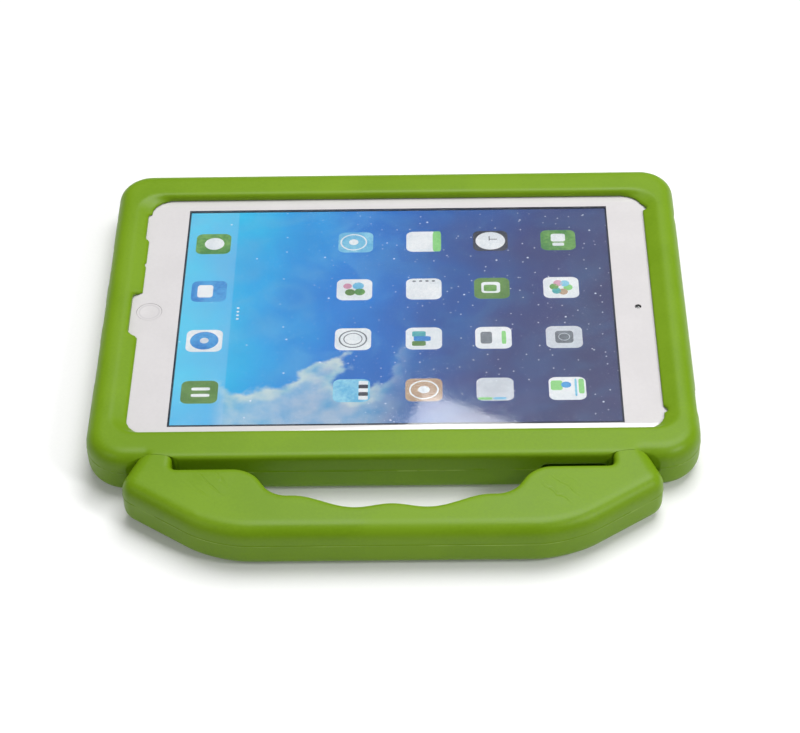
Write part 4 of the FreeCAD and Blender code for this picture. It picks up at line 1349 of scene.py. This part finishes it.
@dataclass
class Icons:
    """Generic icons on the lit screen: plain cards with simple shapes on them, and four page dots."""

    columns: tuple[float, ...] = (-70.0, -15.8, 10.0, 35.3, 61.0)
    rows: tuple[float, ...] = (40.8, 13.2, -14.4, -41.8)
    size: tuple[float, float] = (13.2, 11.9)
    level: float = 14.03
    thickness: float = 0.03
    lift: float = 0.06
    dots: tuple[float, float, int] = (-58.6, 2.0, 4)

    def pictures(self) -> list[list[Stroke]]:
        """The strokes of each icon, column by column from the far row to the near one.

        Each stroke is a shape, its ink, its offset in X and Y and its width and height, in millimetres.
        """
        card, disc, ring = Shape.CARD, Shape.DISC, Shape.RING
        x, y = self.size

        def ground(ink: Ink) -> Stroke:
            """The card that an icon stands on."""
            return (card, ink, 0.0, 0.0, x, y)

        petals = [
            (disc, ink, 2.6 * math.cos(turn), 2.6 * math.sin(turn), 3.4, 3.4)
            for ink, turn in zip((Ink.LIME, Ink.SKY, Ink.ROSE, Ink.GREEN, Ink.TEAL, Ink.SAND), range(6))
        ]
        pair, tall = (Ink.WHITE, Ink.DARK), 1.95
        stripes = [(card, pair[i % 2], 4.2, (2 - i) * tall, 3.4, tall) for i in range(5)]
        return [
            [ground(Ink.GREEN), (disc, Ink.WHITE, 0.4, 0, 7.4, 7.0)],
            [ground(Ink.BLUE), (card, Ink.WHITE, -1.4, 0, 5.8, 7.0)],
            [ground(Ink.WHITE), (disc, Ink.BLUE, 0, 0, 10.4, 9.6), (disc, Ink.PALE, 0, 0, 3.2, 3.0)],
            [ground(Ink.OLIVE), *[(card, Ink.WHITE, 0.4, up, 6.6, 1.5) for up in (1.6, -1.8)]],
            [ground(Ink.SKY), (ring, Ink.WHITE, -0.8, 0, 10.2, 9.6), (disc, Ink.WHITE, -0.8, 0, 3.6, 3.4)],
            [
                ground(Ink.WHITE), (disc, Ink.ROSE, -2.6, 2, 3.2, 3), (disc, Ink.SKY, 1.4, 2, 4.2, 4),
                (disc, Ink.OLIVE, -1.6, -1.6, 3.8, 3.6), (disc, Ink.GREEN, 2, -1.4, 4, 3.8),
            ],
            [ground(Ink.WHITE), (ring, Ink.GREY, 0, 0, 10.4, 9.6), (ring, Ink.GREY, 0, 0, 7, 6.4)],
            [ground(Ink.SKY), *stripes],
            [ground(Ink.WHITE), (card, Ink.LIME, 5.0, 0, 3.2, y)],
            [ground(Ink.WHITE), *[(disc, Ink.GREY, -3.6 + 2.4 * i, 4.4, 1.3, 0.9) for i in range(4)]],
            [
                ground(Ink.WHITE), (card, Ink.TEAL, -1.8, 2.4, 5, 3), (card, Ink.BLUE, -0.6, -0.2, 6.2, 2.6),
                (card, Ink.OLIVE, -1.8, -2.8, 5, 2.6),
            ],
            [ground(Ink.SAND), (ring, Ink.WHITE, 0, 0, 10.6, 9.8), (disc, Ink.WHITE, 0, 0, 4.2, 3.8)],
            [
                ground(Ink.DARK), (disc, Ink.WHITE, 0, 0, 11.2, 10.4), (card, Ink.GREY, 1, 0.8, 3.2, 0.4),
                (card, Ink.GREY, -0.4, 1.4, 0.4, 2.6),
            ],
            [ground(Ink.OLIVE), (card, Ink.WHITE, -0.4, 0.4, 7.0, 6.2), (card, Ink.GREEN, -0.6, 0, 4.8, 3.6)],
            [ground(Ink.WHITE), (card, Ink.GREY, -2.6, 0, 4.2, 6.4), (card, Ink.LIME, 3.8, 0, 1.6, 7)],
            [ground(Ink.PALE), (card, Ink.LIME, -3.6, -4.9, 5, 1.2), (card, Ink.SKY, 1.6, -4.9, 4.6, 1.2)],
            [ground(Ink.GREEN), (card, Ink.WHITE, 0, 1.4, 5.4, 4.6), (card, Ink.WHITE, 0, -2.6, 4.4, 1.8)],
            [ground(Ink.WHITE), *petals],
            [ground(Ink.PALE), (card, Ink.GREY, 0, 0, 6.6, 6.6), (ring, Ink.PALE, 0, 0, 4.2, 4.0)],
            [
                ground(Ink.WHITE), (card, Ink.LIME, -3.8, 1.6, 4.2, 5), (disc, Ink.BLUE, -0.4, 1.8, 3.6, 3.2),
                (card, Ink.SKY, 3.0, 0.4, 0.8, 9.0), (card, Ink.LIME, 5.0, 1.0, 2.0, 7.6),
            ],
        ]

    def template(self, shape: Shape) -> Piece:
        """One flat shape a millimetre across, about the row frame's zero point.

        Args:
            shape: Which shape.

        Returns:
            The shape as a thin closed plate.
        """
        bpy.ops.object.select_all(action="DESELECT")
        if shape is Shape.CARD:
            bpy.ops.mesh.primitive_plane_add(size=MM)
        else:
            bpy.ops.mesh.primitive_circle_add(vertices=40, radius=MM / 2, fill_type="NGON")
        plate = bpy.context.object
        plate.name = f"{shape.value}_template"
        with editing(plate):
            bpy.ops.mesh.select_all(action="SELECT")
            if shape is Shape.CARD:
                bpy.ops.mesh.bevel(offset=0.2 * MM, segments=6, affect="VERTICES")
            if shape is Shape.RING:
                bpy.ops.mesh.inset(thickness=0.055 * MM)
                bpy.ops.mesh.delete(type="ONLY_FACE")
            bpy.ops.mesh.select_all(action="SELECT")
            extrude(0, 0, self.thickness)
            bpy.ops.mesh.select_all(action="SELECT")
            bpy.ops.mesh.normals_make_consistent(inside=False)
        return plate

    def build(self) -> Piece:
        """Models and dresses the icons.

        Returns:
            All icons as one piece.
        """
        templates = {shape: self.template(shape) for shape in Shape}
        inks = {}
        for ink in Ink:
            dark, light = ink.value
            inks[ink] = GlowFinish(f"screen_{ink.name.lower()}", light, dark, blotches=110.0).make()
        plates = []
        spots = [(x, y) for x in self.columns for y in self.rows]
        for picture, (x, y) in zip(self.pictures(), spots):
            for layer, stroke in enumerate(picture):
                plates.append(self.stamp(templates, inks, stroke, (x, y), min(layer, 2)))
        dots_x, gap, count = self.dots
        for index in range(count):
            dot = (Shape.DISC, Ink.WHITE, 0.0, (index - (count - 1) / 2) * gap, 1.0, 0.9)
            plates.append(self.stamp(templates, inks, dot, (dots_x, 0.5), 0))
        for template in templates.values():
            bpy.data.objects.remove(template)
        focus(plates[0])
        for plate in plates:
            plate.select_set(True)
        bpy.ops.object.join()
        icons = bpy.context.object
        icons.name = "screen_icons"
        finish_piece(icons, "case", "display")
        return icons

    def stamp(
        self,
        templates: dict[Shape, Any],
        inks: dict[Ink, Any],
        stroke: Stroke,
        at: tuple[float, float],
        layer: int,
    ) -> Piece:
        """Places one stroke of an icon.

        Args:
            templates: The flat shapes.
            inks: The screen's materials.
            stroke: The stroke.
            at: The icon's middle.
            layer: How many strokes lie under it.

        Returns:
            The stroke's plate.
        """
        shape, ink, dx, dy, width, height = stroke
        plate = templates[shape].copy()
        plate.data = templates[shape].data.copy()
        bpy.context.scene.collection.objects.link(plate)
        x, y = at[0] + PICTURE[0] + dx, at[1] + PICTURE[1] + dy
        where = place(x, y, self.level + layer * self.lift)
        plate.data.transform(Matrix.Translation(where) @ Matrix.Diagonal((width, height, 1, 1)))
        plate.data.materials.append(inks[ink])
        return plate


def dress(finish: Finish, *names: str) -> None:
    """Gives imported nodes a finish.

    Args:
        finish: The finish.
        names: The nodes.
    """
    material = finish.make()
    for name in names:
        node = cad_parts[name]
        node.data.materials.clear()
        node.data.materials.append(material)
        LOG.info("%s: %s", name, finish.name)


def dress_packed_nodes() -> None:
    """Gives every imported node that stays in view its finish."""
    sides = ("left", "right")
    dress(ALUMINIUM, "tablet_housing")
    dress(KEY_METAL, "volume_up_key", "volume_down_key", "sleep_key", "mute_slider")
    dress(STEEL, "charging_socket", *(f"hinge_pin_{side}" for side in sides))
    anchors = [f"hinge_anchor_{side}_{end}" for side in sides for end in ("inner", "outer")]
    dress(HINGE_PLASTIC, *anchors, *(f"knuckle_sleeve_{side}" for side in sides))
    switches = [f"{name}_switch" for name in ("home", "volume_up", "volume_down", "sleep", "mute")]
    others = ("speaker_far", "speaker_near", "headphone_socket", "front_camera", "rear_camera")
    dress(BLACK_PLASTIC, *switches, *others)
    dress(FOIL, *(f"battery_cell_{side}" for side in sides))
    dress(BOARD, "logic_board")
    dress(LENS_GLASS, "rear_lens")
    button = ButtonFinish(
        "home_white", tint(206, 203, 204), tint(202, 199, 200), 0.1, 0.16, coat=0.5, relief=0.000001,
        middle=(-90.4, 0.0, 0.0),
    )
    dress(button, "home_button")
    white = tint(255, 255, 255)
    sky = ScreenFinish("evening_sky", white, white, 0.5, 0.5, middle=(*PICTURE, 0.0))
    dress(sky, "display_panel")


# ------------------------------------------------------------------------------ the studio


@dataclass
class Studio:
    """A pale floor, soft lights and the camera."""

    eye: Point = (0.0183, -0.6669, 0.6128)
    elevation: float = 42.45
    azimuth: float = 1.40
    roll: float = -1.55
    lens: float = 111.05
    world: float = 0.2
    floor_glow: float = 0.1

    def floor(self) -> None:
        """Lays the floor."""
        bpy.ops.object.select_all(action="DESELECT")
        bpy.ops.mesh.primitive_plane_add(size=14.0, location=(0, 0, -0.0002))
        ground = bpy.context.object
        ground.name = "studio_floor"
        light, dark = tint(230, 230, 230), tint(227, 227, 227)
        paper = Finish("pale_floor", light, dark, 0.8, 0.9, blotches=3.0).make()
        shader = paper.node_tree.nodes["Principled BSDF"]
        shader.inputs["Emission Color"].default_value = (1, 1, 1, 1)
        shader.inputs["Emission Strength"].default_value = self.floor_glow
        ground.data.materials.append(paper)

    def light(self, name: str, at: Point, size: float, power: float) -> None:
        """Hangs a square soft light that faces the object.

        Args:
            name: The light's name.
            at: Its place in metres.
            size: Its width in metres.
            power: Its power in watts.
        """
        lamp = bpy.data.lights.new(name, "AREA")
        lamp.shape, lamp.size, lamp.energy = "SQUARE", size, power
        holder = bpy.data.objects.new(name, lamp)
        holder.location = at
        holder.rotation_euler = (-Vector(at)).to_track_quat("-Z", "Y").to_euler()
        bpy.context.scene.collection.objects.link(holder)

    def camera(self) -> None:
        """Sets the camera up."""
        rise, turn, roll = (math.radians(a) for a in (self.elevation, self.azimuth, self.roll))
        forward = Vector((-math.sin(turn) * math.cos(rise), math.cos(turn) * math.cos(rise), -math.sin(rise)))
        level = Vector((math.cos(turn), math.sin(turn), 0))
        steep = level.cross(forward)
        right = math.cos(roll) * level + math.sin(roll) * steep
        up = math.cos(roll) * steep - math.sin(roll) * level
        eye = bpy.data.cameras.new("camera")
        eye.lens, eye.sensor_width, eye.clip_start = self.lens, 36.0, 0.01
        holder = bpy.data.objects.new("camera", eye)
        turned = Matrix((right, up, -forward)).transposed().to_4x4()
        holder.matrix_world = Matrix.Translation(self.eye) @ turned
        bpy.context.scene.collection.objects.link(holder)
        bpy.context.scene.camera = holder

    def build(self) -> None:
        """Makes the studio."""
        self.floor()
        self.light("top_light", (0.25, 0.45, 1.4), 1.2, 26.0)
        self.light("right_light", (1.0, -0.6, 0.95), 0.3, 7.0)
        self.light("left_light", (-0.95, -0.6, 0.95), 0.4, 1.6)
        world = bpy.data.worlds.new("studio")
        world.use_nodes = True
        world.node_tree.nodes["Background"].inputs["Strength"].default_value = self.world
        world.node_tree.nodes["Background"].inputs["Color"].default_value = (1, 1, 1, 1)
        bpy.context.scene.world = world
        bpy.context.scene.view_settings.view_transform = "Standard"
        self.camera()


def main() -> None:
    """Builds the studio, the foam pieces and the tablet's face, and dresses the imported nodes."""
    logging.basicConfig(level=logging.INFO, format="%(name)s: %(message)s")
    Studio().build()
    hinge = Hinge()
    for maker in (Shell(hinge), Handle(hinge), Pane(), Icons()):
        maker.build()
    dress_packed_nodes()


if __name__ == "__main__":
    main()
